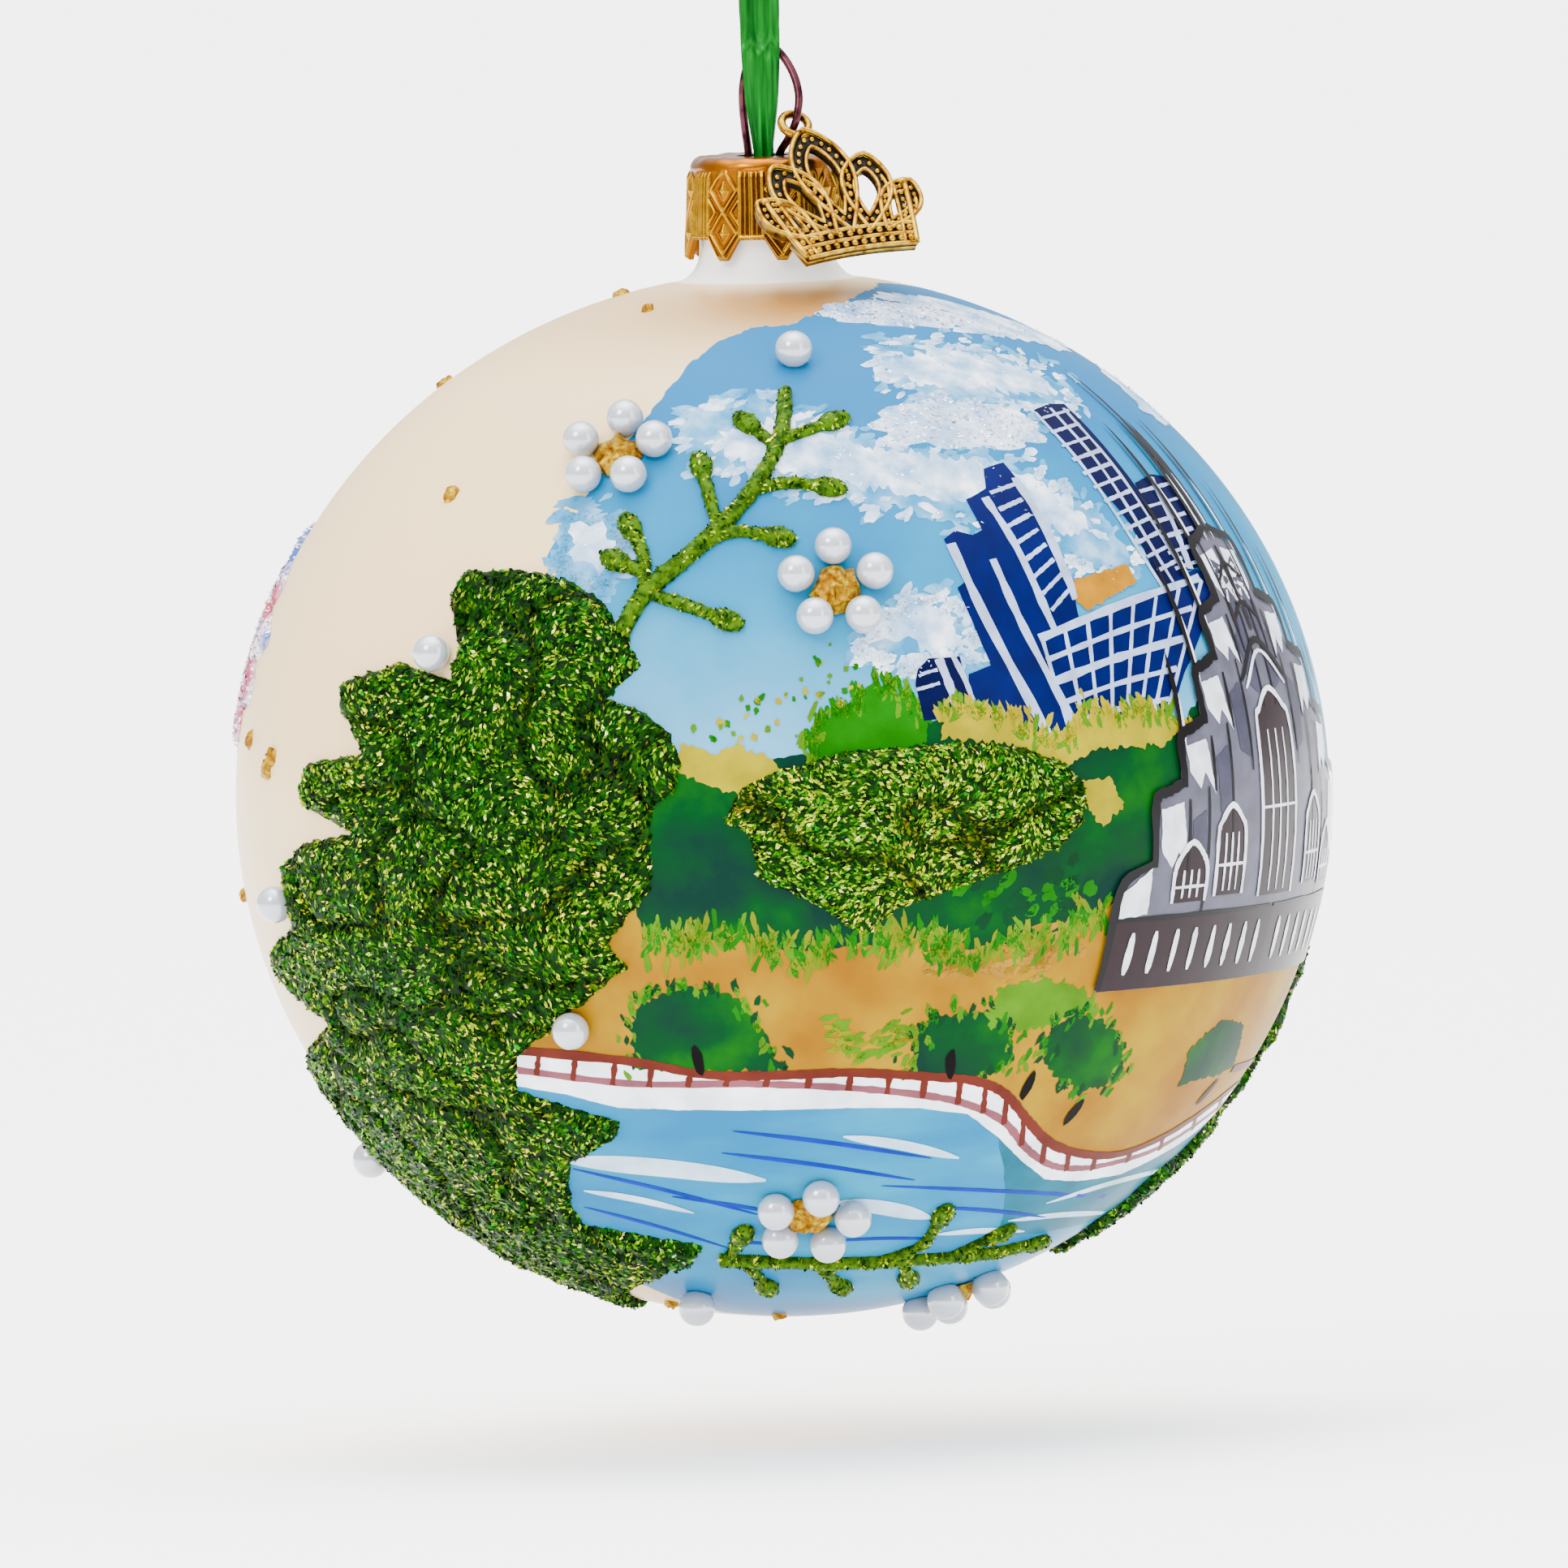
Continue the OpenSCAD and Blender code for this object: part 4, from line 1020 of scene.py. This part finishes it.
# ---- painted scene --------------------------------------------------------
# Outlines and lines of the scene, as (u, w) seen from the front.
SKY_EDGE = [
    (-21, 21.5), (-20.5, 23.5), (-19, 25), (-16, 29.5), (-12, 34.5), (-8.5, 39), (-6, 41), (-2.5, 42.5),
    (0.5, 42.5), (3.5, 44), (7, 45.5),
]
CLOUDS = [
    [
        (8.5, 40), (12.5, 41), (17.5, 40.5), (22, 39), (25.5, 37), (26.5, 35), (21, 35), (15.5, 35.5),
        (10, 37),
    ],
    [
        (-9, 34), (-6, 35.5), (-2.5, 36), (2.5, 34), (7, 32), (14, 31), (19.5, 30.5), (25, 28),
        (29.5, 24.5), (32.5, 20.5), (27, 20.5), (22, 24), (14, 25), (6.5, 26.5), (-0.5, 28), (-6, 29.5),
        (-9.5, 32),
    ],
    [(-19.5, 25), (-16.5, 24.5), (-14.5, 21.5), (-16.5, 19), (-19.5, 20)],
    [(9.5, 16), (12.5, 17.5), (16, 16.5), (17.5, 13), (14, 11.5), (7, 13)],
]
GREEN_FOOT = [
    (-13.5, -9), (-12.5, -13), (-8.5, -13), (-4, -13), (1, -14.5), (4.5, -14), (12.5, -13), (16, -14.5),
    (21, -13.5), (27, -12), (29, -10.5),
]
RAIL = [
    (-24, -23.2), (-13.6, -24.2), (-6.6, -25.4), (0.4, -25.4), (6.4, -25.2), (13.8, -25.6), (17.6, -26),
    (20.2, -27.2), (22.4, -29.8), (24.2, -31.6), (26.8, -32.6), (30.2, -32.8), (33.8, -31.6),
    (37.6, -29.4), (41.6, -26.4),
]
LOW_RAIL = [
    (-24, -25), (-13.6, -26.2), (-3.2, -26.2), (6.4, -26.6), (13.8, -27.4), (17.6, -28.4),
    (20.2, -29.8), (22, -32), (24.2, -33.6), (26.8, -34), (29.8, -33.6), (33.8, -32.4), (37.6, -30.2),
    (41.6, -27.2),
]
SHORE = [
    (-24.4, -26.4), (-19.6, -27.2), (-14.8, -28.4), (-8.4, -28.6), (-1, -28.6), (6.4, -28.4),
    (12.4, -28.4), (16.8, -29), (19.4, -31), (21.6, -33.2), (23.8, -35), (26.8, -35.2), (30.8, -34.6),
    (36, -32), (40.6, -29),
]


def joined(*parts):
    return np.vstack([np.asarray(p, float) for p in parts])


def bristle(build, line, count, length, width, palette, spread, lift, lean=90):
    """Small dabs strewn along a (u, w) line, as a dry brush leaves them."""
    path = curve(line, 8)
    run = run_of(path)
    for at in rng.uniform(0, run[-1], count):
        u = np.interp(at, run, path[:, 0]) + rng.normal(0, 0.5)
        w = np.interp(at, run, path[:, 1]) + rng.normal(0, spread)
        size = rng.uniform(0.6, 1.3)
        tint = palette[rng.integers(len(palette))]
        dab(build, (u, w), length * size, width * size, lean + rng.normal(0, 22), lift, tint, 0.35)


def height_paint(name, stops, low, high, scale, share):
    """Paint that changes with height between low and high, broken up by noise."""
    m = material(name, rough=0.4)
    where = node(m, "ShaderNodeTexCoord")
    apart = node(m, "ShaderNodeSeparateXYZ")
    span = node(m, "ShaderNodeMapRange")
    span.inputs["From Min"].default_value, span.inputs["From Max"].default_value = low * MM, high * MM
    n = noise_of(m, scale, 4.0)
    add = node(m, "ShaderNodeMath")
    add.operation = "MULTIPLY_ADD"
    add.inputs[1].default_value = share
    tone = ramp(m, stops)
    link(m, where, "Object", apart, "Vector")
    link(m, apart, "Z", span, "Value")
    m.node_tree.links.new(n.outputs["Fac"], add.inputs[0])
    m.node_tree.links.new(span.outputs[0], add.inputs[2])
    m.node_tree.links.new(add.outputs[0], tone.inputs["Fac"])
    link(m, tone, "Color", shader(m), "Base Color")
    bump(m, noise_of(m, scale * 5, 3.0), 0.2, 0.04)
    return m


def sky():
    stops = [(0.3, (150, 214, 244)), (0.62, (80, 204, 244)), (0.8, (0, 196, 242)), (1.0, (0, 180, 234))]
    stops = [(at, srgb(*c)) for at, c in stops]
    blue = height_paint("sky_paint", stops, BALL_Z + 4, BALL_Z + 46, 0.09, 0.55)
    build = Build()
    far_edge = [(40, 74), (70, 77), (105, 72), (125, 58), (134, 38), (137, 12), (137, 0), (100, 0), (60, 0)]
    outline = joined(chart(SKY_EDGE), far_edge, chart([(40, 1), (20, 1), (0, 0), (-12, 0)]))
    patch(build, rough(outline, 0.7, 0.45, 1.0, 0.7), 0.03)
    build.make("sky", blue, "ball")


def clouds():
    """White clouds over a thin haze, with clear flakes strewn on them."""
    whites = [(0.34, srgb(170, 212, 246)), (0.5, srgb(208, 228, 248)), (0.66, srgb(240, 244, 250))]
    cloud = mottled("cloud_paint", whites, 0.35, 0.45, 0.8, 0.12)
    blues = [(0.36, srgb(90, 196, 242)), (0.5, srgb(140, 208, 244)), (0.66, srgb(190, 222, 246))]
    haze = mottled("cloud_haze", blues, 0.3, 0.5, 0.5, 0.08)
    build = Build()
    for k, c in enumerate(CLOUDS):
        patch(build, rough(chart(c), 0.45, 1.0, 2.0 + k, 0.55), 0.05)
        bristle(build, c + c[:1], 130, 1.9, 0.9, [None], 0.8, 0.055, 20)
    build.make("cloud_edges", haze, "ball")
    build = Build()
    for k, c in enumerate(CLOUDS):
        c = np.array(c)
        core = c.mean(0) + (c - c.mean(0)) * [0.82, 0.66] + [0, 0.4]
        patch(build, rough(chart(core), 0.45, 1.1, 2.0 + k, 0.7), 0.065)
    top = joined(chart([(9, 45.7), (14, 45.2), (20, 43.4), (24.5, 41)]), [(48, 62), (60, 66), (40, 72)])
    patch(build, rough(top, 0.5, 0.7, 8, 0.6), 0.06)
    lobes = ((1.5, 0.34, 0, 0), (0.9, 0.42, -0.35, 0.2), (0.7, 0.34, 0.55, 0.12))
    for az, lat, r in ((70, 62, 9), (95, 45, 12), (120, 35, 10), (84, 58, 8)):
        for wide, tall, x, y in lobes:
            puff = scalloped(r * wide, r * tall, 9, 0.16, (az + x * r, lat + y * r))
            patch(build, rough(puff, 0.6, 0.8, az + wide, 0.7), 0.06 + 0.004 * wide)
    for c in CLOUDS[:2] + CLOUDS[3:]:
        bristle(build, c + c[:1], 110, 1.6, 0.8, [None], 0.5, 0.07, 20)
    base = build.make("clouds", cloud, "ball")
    soft = tinted("cloud_flakes", 0.25, 0.1)
    flakes("cloud_sparks", base, 900, 0.42, PASTELS, [6, 3, 0.6, 2, 1], soft, lift=0.05)


BUSHES = [
    [(-13.5, -25), (-13.5, -19.5), (-10, -17.5), (-4.5, -18), (-2, -21), (0, -25)],
    [(11.5, -25.5), (12.5, -21), (14.5, -20), (18.5, -19.5), (20.5, -21), (21, -24), (18.5, -25.5)],
    [(23.5, -24), (24, -21.5), (26.5, -20), (29, -20.5), (31, -23), (30.5, -26), (27, -27), (25, -26)],
    [(36, -26.5), (37, -23), (40, -20.5), (42, -21), (41, -25)],
]
FRESH = [(2.5, 3), (3.5, 6.5), (7, 8.5), (8.5, 10), (11, 9), (11.5, 8), (13, 7.5), (13, 4.5), (7, 3.5)]
RIDGE = [
    (14.5, 7.5), (16, 8), (19, 7), (21, 6.5), (23, 5.5), (25.5, 4.5), (26.5, 6.5), (28.5, 7.5),
    (30.5, 7), (33.5, 7.5), (36.5, 6), (34.5, 4.5), (28.5, 4), (25.5, 2.5), (21, 4.5), (14.5, 5),
]
SHRUBS = [
    [(-10, 2), (-9, 4.5), (-6, 3.5), (-4, 4.5), (-1, 3), (0, 2), (-4, 0)],
    [(27, 1), (29.5, 1.5), (31, -1), (29, -3), (27.5, -1)],
    [(18.5, -21), (19.5, -17.5), (23.5, -16.5), (27.5, -17.5), (28, -19.5), (24, -21), (21, -21.5)],
]


def ground():
    """The golden field and the dark woods."""
    golds = [(0.32, srgb(208, 158, 0)), (0.5, srgb(220, 178, 0)), (0.68, srgb(228, 198, 0))]
    gold = mottled("field_paint", golds, 0.12, 0.4, 0.3, 0.05)
    build = Build()
    far = [(60, -8), (80, -4), (100, 1), (137, 2), (137, -28), (115, -29), (100, -31)]
    near = chart([(-30, -6), (-10, -8), (10, -8), (30, -8)])
    edge = joined(near, far, chart(RAIL[::-1]), chart([(-30, -22)]))
    patch(build, rough(edge, 0.8, 0.1, 4), 0.04)
    build.make("field", gold, "ball")
    greens = [(0.35, srgb(0, 82, 72)), (0.52, srgb(0, 108, 66)), (0.7, srgb(10, 150, 40))]
    woods = mottled("woods_paint", greens, 0.13, 0.4, 0.4, 0.06)
    build = Build()
    top = [(-14, 3), (-2, 3), (6, 4), (12, 6.4), (16, 7), (24, 5), (32, 5.5), (36, 6), (38, 9)]
    foot = chart([(33, -8)] + GREEN_FOOT[::-1] + [(-20, -6)])
    patch(build, rough(joined(chart(top), [(62, 2), (62, -8)], foot), 0.6, 0.35, 5, 0.8), 0.06)
    far = np.array([(98, 3), (137, 6), (137, -14), (118, -17), (98, -12)], float)
    patch(build, rough(far, 0.6, 0.8, 6), 0.06)
    for k, b in enumerate(BUSHES):
        patch(build, rough(chart(b), 0.4, 0.45, 20 + k, 1.2), 0.08)
    build.make("woods", woods, "ball")


def foliage():
    """Fresh bushes, a yellow hedge and grass, in short brush strokes."""
    leaf = tinted("leaf_paint", 0.4, 0.0, 0.3)
    yellow, lime, green, deep = srgb(222, 210, 0), srgb(140, 192, 0), srgb(40, 168, 0), srgb(0, 98, 66)
    moss, olive = srgb(178, 190, 14), srgb(190, 190, 16)
    straw = [srgb(222, 180, 84), srgb(196, 170, 40)]
    build = Build()
    looks = ((0.6, 1.5, 0.085, green), (0.5, 1.5, 0.15, yellow), (0.4, 1.4, 0.085, yellow),
             (0.4, 1.4, 0.085, yellow), (0.6, 1.4, 0.075, lime))
    for k, (points, (amount, wave, lift, tint)) in enumerate(zip([FRESH, RIDGE, *SHRUBS], looks)):
        patch(build, rough(chart(points), 0.3, amount, 30 + k, wave), lift, 1.2, tint=tint)
    # Line, count, length, width, colours, spread, lift and lean of each band of strokes.
    blown = [(-8, 4.5), (-4, 6.5), (0, 8), (3, 10.5), (7, 10.5)]
    bands = [
        (RIDGE[:11], 200, 1.7, 0.55, [yellow, yellow, lime], 0.5, 0.16, 90),
        (FRESH[:7], 110, 1.7, 0.5, [green, green, lime], 0.5, 0.09, 90),
        (blown, 46, 0.6, 0.45, [yellow, lime, green], 1.2, 0.09, 90),
        (GREEN_FOOT[1:], 380, 1.9, 0.5, [lime, green, moss], 0.8, 0.09, 90),
        ([(13, -15.5), (20, -15), (27, -13.5)], 90, 1.6, 0.7, straw, 0.9, 0.075, 10),
    ]
    bands += [(b, 70, 1.2, 0.5, [lime, deep, green], 0.4, 0.09, 90) for b in BUSHES[:3]]
    bands += [
        ([(4, -22), (8, -23), (12, -21.5)], 60, 1.5, 0.6, [lime, olive], 0.9, 0.07, 20),
        ([(10, -2), (20, -9.5), (29, -8)], 60, 1.6, 1.0, [green, deep], 1.6, 0.07, 30),
    ]
    for band in bands:
        bristle(build, *band)
    build.make("foliage", leaf, "ball")


def water():
    blues = [(0.36, srgb(0, 180, 230)), (0.55, srgb(0, 196, 240)), (0.75, srgb(70, 214, 246))]
    paint = mottled("water_paint", blues, 0.1, 0.3, 0.2, 0.05, stretch=(0.5, 0.5, 2.2))
    build = Build()
    far = [(100, -36), (120, -33), (137, -31), (137, -60), (125, -74), (60, -83), (0, -83), (-40, -78)]
    pool = joined(chart(SHORE), far, chart([(-14, -44), (-21, -38), (-26, -32)]))
    patch(build, rough(pool, 0.8, 0.1, 7), 0.03)
    build.make("water", paint, "ball")


def shore():
    """Ripples on the water, the white bank and the railing along it."""
    teal, white, navy, pale = srgb(0, 172, 196), srgb(244, 246, 250), srgb(0, 84, 200), srgb(214, 236, 250)
    wood, mauve = srgb(136, 78, 66), srgb(176, 124, 134)
    build = Build()
    deep = [(100, -36), (120, -33), (137, -31), (137, -48), (90, -52)]
    deep = joined(chart(SHORE[8:]), deep, chart([(30, -39), (19.3, -40.5)]))
    bank = [(100, -34), (137, -29.5), (137, -31), (120, -33), (100, -36)]
    bank = joined(chart(LOW_RAIL), bank, chart(SHORE[::-1]))
    walk = joined(chart(RAIL), [(100, -31), (137, -28), (137, -29.5), (100, -34)], chart(LOW_RAIL[::-1]))
    for outline, amount, seed, lift, tint in (
        (deep, 0.15, 8, 0.05, teal), (bank, 0.08, 9, 0.07, white), (walk, 0.0, 9, 0.07, white),
    ):
        patch(build, rough(outline, 0.6, amount, seed), lift, tint=tint)
    for a, b, c, d, wide in (
        (-20, -33.2, -1.5, -35, 2.4), (5.5, -31, 16, -33, 1.2), (5, -37, 13.5, -38.5, 2.0),
        (24, -37.2, 36, -34, 0.9), (20.5, -38.8, 30, -38.2, 0.9), (-18, -36, -8, -38, 1.0),
        (14, -40, 22, -39.8, 1.0), (26, -40.8, 31, -38.6, 0.6),
    ):
        line = [(a, b), ((a + c) / 2, (b + d) / 2 + 0.2), (c, d)]
        stroke(build, line, wide, 0.075, taper=0.85, tint=pale)
    for a, b, c, d in (
        (-4.5, -30.5, 13.5, -33), (-5.5, -32.5, 12, -35), (9, -35.5, 36, -37.2), (-19, -34, -2, -38.2),
        (-18, -37.5, -5, -41.2), (-10, -36.5, 2, -38.5), (14, -37.5, 24, -38.5), (4, -40.6, 14, -40.4),
        (-5, -40.8, 0, -41),
    ):
        line = [(a, b), ((a + c) / 2, (b + d) / 2 + 0.15), (c, d)]
        stroke(build, line, 0.5, 0.09, taper=0.8, tint=navy)
    stroke(build, LOW_RAIL, 0.75, 0.1, steps=10, wobble=0.15, tint=mauve)
    stroke(build, RAIL, 0.95, 0.11, steps=10, wobble=0.12, tint=wood)
    top, low = curve(RAIL, 10), curve(LOW_RAIL, 10)
    for u in (-22, -18.7, -15.1, -11.8, -8.3, -4.9, -1.3, 2.5, 6.2, 9.7, 12.9, 16.1, 18.4, 20.3, 21.9, 23.8,
              26, 28.4, 31.6, 34.6, 37.6, 40):
        a = (u, float(np.interp(u, *top.T)) - 0.1)
        b = (u - 0.25, float(np.interp(u - 0.25, *low.T)) - 0.25)
        stroke(build, [a, b], 0.55, 0.12, tint=wood, wobble=0.3)
    lamps = ((-7.6, -24.2, 95), (15.2, -24.4, 95), (22.2, -26.4, 82), (26.4, -28.8, 68), (38.6, -27.2, 60))
    for u, w, turn in lamps:
        dab(build, (u, w), 3.2, 1.05, turn, 0.13, srgb(24, 18, 20), 0.12)
    far = np.array([(a, -30.2 - 0.9 * math.cos(math.radians(a - 80))) for a in np.linspace(72, 137, 24)])
    stroke(build, None, 0.9, 0.11, sketch=far, tint=wood)
    build.make("shore_and_railing", tinted("shore_paint", 0.35, 0.0, 0.25), "ball")


# Towers from the back to the front, as (u, w).
TOWERS = {
    "far": [
        (22.8, 34.8), (24.2, 35.4), (25.6, 35.4), (32.4, 27.4), (36.8, 19.8), (34.2, 18.8), (31.6, 24.4),
        (27.2, 29.6),
    ],
    "farthest": [(32, 28.2), (33.4, 29), (35, 28.8), (38.8, 21.2), (37.4, 20.4), (34.8, 19.8)],
    "stepped": [
        (16.8, 10.8), (18.8, 11.6), (15.8, 18.6), (16.6, 19.2), (15, 22.2), (14.6, 23), (15.6, 23.8),
        (17.2, 23.4), (20.4, 25), (25, 15.8), (26.4, 13.2), (27.5, 4), (17.6, 5), (16.8, 8),
    ],
    "tall": [
        (18.2, 29.4), (20, 30), (21.8, 27.8), (26.2, 18.6), (27, 15), (22.8, 13), (17.6, 24.8),
        (16.6, 26.6), (18.4, 27.6),
    ],
    "low": [(12.2, 11.2), (13.2, 12.2), (16, 12.4), (17.2, 7), (12.8, 6.6), (12, 9.8)],
    "broad": [(23, 14.4), (37.4, 20.4), (39.2, 19.8), (36.4, 11), (35, 6.8), (25.6, 5.4), (24, 9.4)],
}


def skyline():
    """Plain generic towers with white lines for their storeys and edges."""
    navy, dark, line = srgb(10, 40, 98), srgb(14, 28, 70), srgb(200, 212, 238)
    build = Build()

    def block(name, tint, lift):
        points = TOWERS[name]
        patch(build, rough(chart(points), 0.8, 0.06, points[0][0], 0.8), lift, 1.3, tint=tint)

    def lines(left, right, shares, wide, lift=0.135, vary=True, arch=0.0):
        """White lines across a tower, between its left and right edges."""
        (a, b), (c, d) = (np.array(side, float) for side in (left, right))
        for t in shares:
            p, q = a + (b - a) * t, c + (d - c) * t
            w = wide * rng.uniform(0.8, 1.2) if vary else wide
            stroke(build, [p, (p + q) / 2 + [0, arch], q], w, lift, tint=line, wobble=0.2)

    block("far", dark, 0.1)
    for a, m, b in (
        ((22.9, 34.6), (27.6, 29.2), (34.4, 18.8)), ((24.3, 35), (29.2, 29.2), (35.4, 19.2)),
        ((25.5, 35), (30.6, 29), (36.6, 19.8)),
    ):
        stroke(build, [a, m, b], 0.42, 0.125, tint=line, wobble=0.2)
    lines([(23.4, 34), (34, 20.2)], [(26, 34.8), (36.2, 21.4)], np.linspace(0, 1, 12), 0.36)
    block("farthest", dark, 0.105)
    lines([(32.4, 27.4), (35.6, 20.4)], [(35.2, 28.2), (38.6, 21.4)], np.linspace(0, 1, 6), 0.36)
    stroke(build, [(33.4, 28.8), (35.4, 24.6), (37, 20.4)], 0.8, 0.13, tint=line, wobble=0.25)
    for name, tint, lift in (
        ("stepped", navy, 0.11), ("tall", navy, 0.115), ("low", dark, 0.115), ("broad", navy, 0.12),
    ):
        block(name, tint, lift)
    for a, m, b, wide in (
        ((15.2, 22.6), (18.8, 15), (24.4, 4.6), 0.95), ((19, 21.2), (21.8, 15), (26.2, 6.6), 0.8),
        ((18.3, 26.8), (21.2, 22.2), (24.6, 14.8), 0.8), ((21, 28.6), (23.6, 24.4), (26.6, 17.6), 1.0),
        ((14.1, 12.2), (15, 10), (16, 7), 0.8), ((15.4, 12.4), (16.6, 10), (17.8, 6.6), 0.5),
        ((12.3, 10.6), (12.9, 10.9), (14, 11.2), 0.3), ((12.1, 9.4), (12.9, 9.6), (14.2, 10), 0.3),
    ):
        stroke(build, [a, m, b], wide, 0.14, tint=line, wobble=0.22)
    lines([(18.8, 27.2), (24.6, 16)], [(21, 28), (26.2, 18)], np.linspace(0, 0.95, 8), 0.45)
    left, right = [(23.2, 14), (25.8, 6.2)], [(37.8, 19.6), (35, 8.6)]
    for t in np.linspace(0, 1, 5):
        lines(left, right, [t], 0.75 if t in (0, 0.5) else 0.5, 0.145, False, 0.25)
    left, right = [(23.4, 14.2), (38, 19.4)], [(26, 5.4), (35, 8)]
    lines(left, right, np.linspace(0, 1, 8), 0.42, 0.14, False)
    sun = [(26.4, 19.4), (27.8, 19.8), (31.2, 20.8), (32, 19.2), (29.4, 17.6), (27.6, 16.6), (26.6, 17.4)]
    patch(build, rough(chart(sun), 0.3, 0.2, 40, 1.4), 0.15, 1.2, tint=srgb(240, 186, 0))
    build.make("skyline_towers", tinted("tower_paint", 0.35, 0.0, 0.4), "ball")


# The right half of the hall's stepped front, from its middle.
HALL = [
    (0, 33), (1.1, 24), (4, 22.5), (4.5, 18), (7.6, 16.5), (8, 13), (11.2, 11.5), (11.7, 7.5),
    (14.8, 6), (15.3, 2), (18.4, 0.5), (18.4, -5), (22, -7.5), (22, -16.5), (0, -16.5),
]


def hall():
    """A generic hall with stepped gables and slender spires on a dark plinth."""
    side = viewpoint(64, 0)
    grey, pale, shade = srgb(130, 130, 144), srgb(232, 234, 242), srgb(96, 96, 112)
    ink, plum = srgb(22, 18, 22), srgb(52, 36, 42)
    enamel = tinted("hall_enamel", 0.28, 0.0, 0.4, spec=0.12)
    build = Build()
    whole = np.array(HALL + [(-x, y) for x, y in HALL[-2:0:-1]])
    patch(build, rough(chart(whole, side), 0.6, 0.04, 1), 0.15, 1.3, 0.15, 0.4, tint=grey)
    build.make("hall_walls", enamel, "ball", ["hall_relief"], "enamel")
    build = Build()
    base = 0.32  # height of the walls' face over the glass

    def blot(points, tint, lift, amount=0.12):
        outline = rough(chart(points, side), 0.5, amount, points[0][0] + 2, 1.2)
        patch(build, outline, base + lift, 1.2, tint=tint)

    def mark(points, wide, tint, lift=0.08, taper=0.3):
        stroke(build, points, wide, base + lift, side, tint=tint, wobble=0.2, taper=taper)

    for s in (-1, 1):

        def half(*points):
            """Points of one half of the front, s giving which."""
            return [(s * x, y) for x, y in points]

        blot(half((0, -10), (22, -10), (22, -16.4), (0, -16.4)), plum, 0.02, 0.03)
        # Each step of the gable: outer edge, top, and the foot of its wall.
        for x, y, low in ((4, 22.5, 18), (7.6, 16.5, 13), (11.2, 11.5, 7.5), (14.8, 6, 2), (18.4, 0.5, -5)):
            snow = half((x - 0.5, y - 0.7), (x - 3.2, y - 0.2), (x - 3.9, low - 1.2), (x - 2.6, low + 0.8),
                        (x - 1.9, low - 0.6), (x - 0.6, low + 0.9))
            blot(snow, pale, 0.03)
            shadow = half((x - 4.3, y - 2), (x - 6.2, y - 1), (x - 6.6, low - 4), (x - 4.6, low - 3))
            blot(shadow, shade, 0.03)
            mark(half((x + 0.1, low - 0.4), (x + 0.1, y), (x - 1.6, y + 0.9), (x - 3.6, y + 1.7)), 1.0, ink)
            mark(half((x - 4, y), (x - 3.9, low - 1)), 0.35, ink)
            mark(half((x - 6.6, y + 1), (x - 6.4, low - 5)), 0.3, ink)
        blot(half((18.7, -5.4), (21.7, -7.6), (21.7, -9.8), (18.7, -9.6)), pale, 0.04)
        mark(half((18.5, -4.9), (22, -7.3), (22, -16.2)), 0.9, ink)
        mark(half((0.2, -10), (11, -10), (21.8, -10)), 0.45, ink)
        for x in (2.2, 4.6, 7.2, 9.6, 12.2, 14.6, 17.2, 19.8):
            mark(half((x, -11.2), (x, -15)), 0.75, pale, taper=0.6)
        # Spires: place, foot and tip.
        spires = ((1.1, 24, 34), (4, 22.5, 34), (7.5, 16.5, 28), (11.1, 11.5, 22), (14.7, 6, 14))
        for x, low, high in spires:
            middle = (low + high) / 2
            mark(half((x, low - 1), (x - 0.25, middle), (x - 0.4, high)), 0.6, ink, 0.02, 0.95)
            mark(half((x - 0.35, low - 1), (x - 0.55, middle)), 0.3, pale, 0.06, 0.9)
    # Pointed windows and the great door: place, sill and spring of the arch.
    for x, low, high in ((-8.5, -8.5, -1), (8.5, -8.5, -1), (0, -9, 9), (-14, -8.8, -4), (14, -8.8, -4)):
        w = 2.1 if x else 3.4
        shape = ((-1, low), (-1, high - w), (-0.7, high - w * 0.3), (0, high + 0.6),
                 (0.7, high - w * 0.3), (1, high - w), (1, low))
        arch = [(x + w * share, y) for share, y in shape]
        blot(arch, plum, 0.05, 0.02)
        mark(arch, 0.55, pale, 0.1)
        for k in (-0.45, 0, 0.45):
            mark([(x + w * k, low + 0.4), (x + w * k, high - w * 0.9)], 0.3, pale, 0.1)
        middle = (low + high) / 2 - 1
        mark([(x - w, middle), (x + w, middle)], 0.3, pale, 0.1)
    mark([(-4.5, 10.5), (0, 14), (4.5, 10.5)], 0.6, ink, 0.1)
    mark([(-4, 9.8), (0, 13), (4, 9.8)], 0.4, pale, 0.12)
    mark([(0, 23), (0.1, 30), (0, 38.5)], 0.7, ink, 0.05, 0.9)
    for y in (16, 19.5):
        mark([(-2.2, y), (0, y + 1.4), (2.2, y)], 0.45, ink, 0.1)
    for x in (-2.4, 0, 2.4):
        mark([(x, 14.8), (x, 18.4 - abs(x) * 0.4)], 0.5, plum, 0.1)
    build.make("hall_painting", enamel, "ball", slot="enamel")
    blush = Build()
    for k in range(16):
        at = (100 + rng.normal(0, 2.5), 17 + rng.normal(0, 2.2))
        turn = rng.uniform(0, 180)
        dab(blush, at, 3, 2.2, turn, 0.06 + 0.002 * k, srgb(244, 176, 190), 0.3, heading=True)
    blush.make("blush_dabs", tinted("blush_paint", 0.4, 0.0, 0.3), "ball")


look()
ribbon()
studio()
cap()
wires()
charm()
ball()
pearls()
reliefs()
sky()
clouds()
ground()
foliage()
water()
shore()
skyline()
hall()
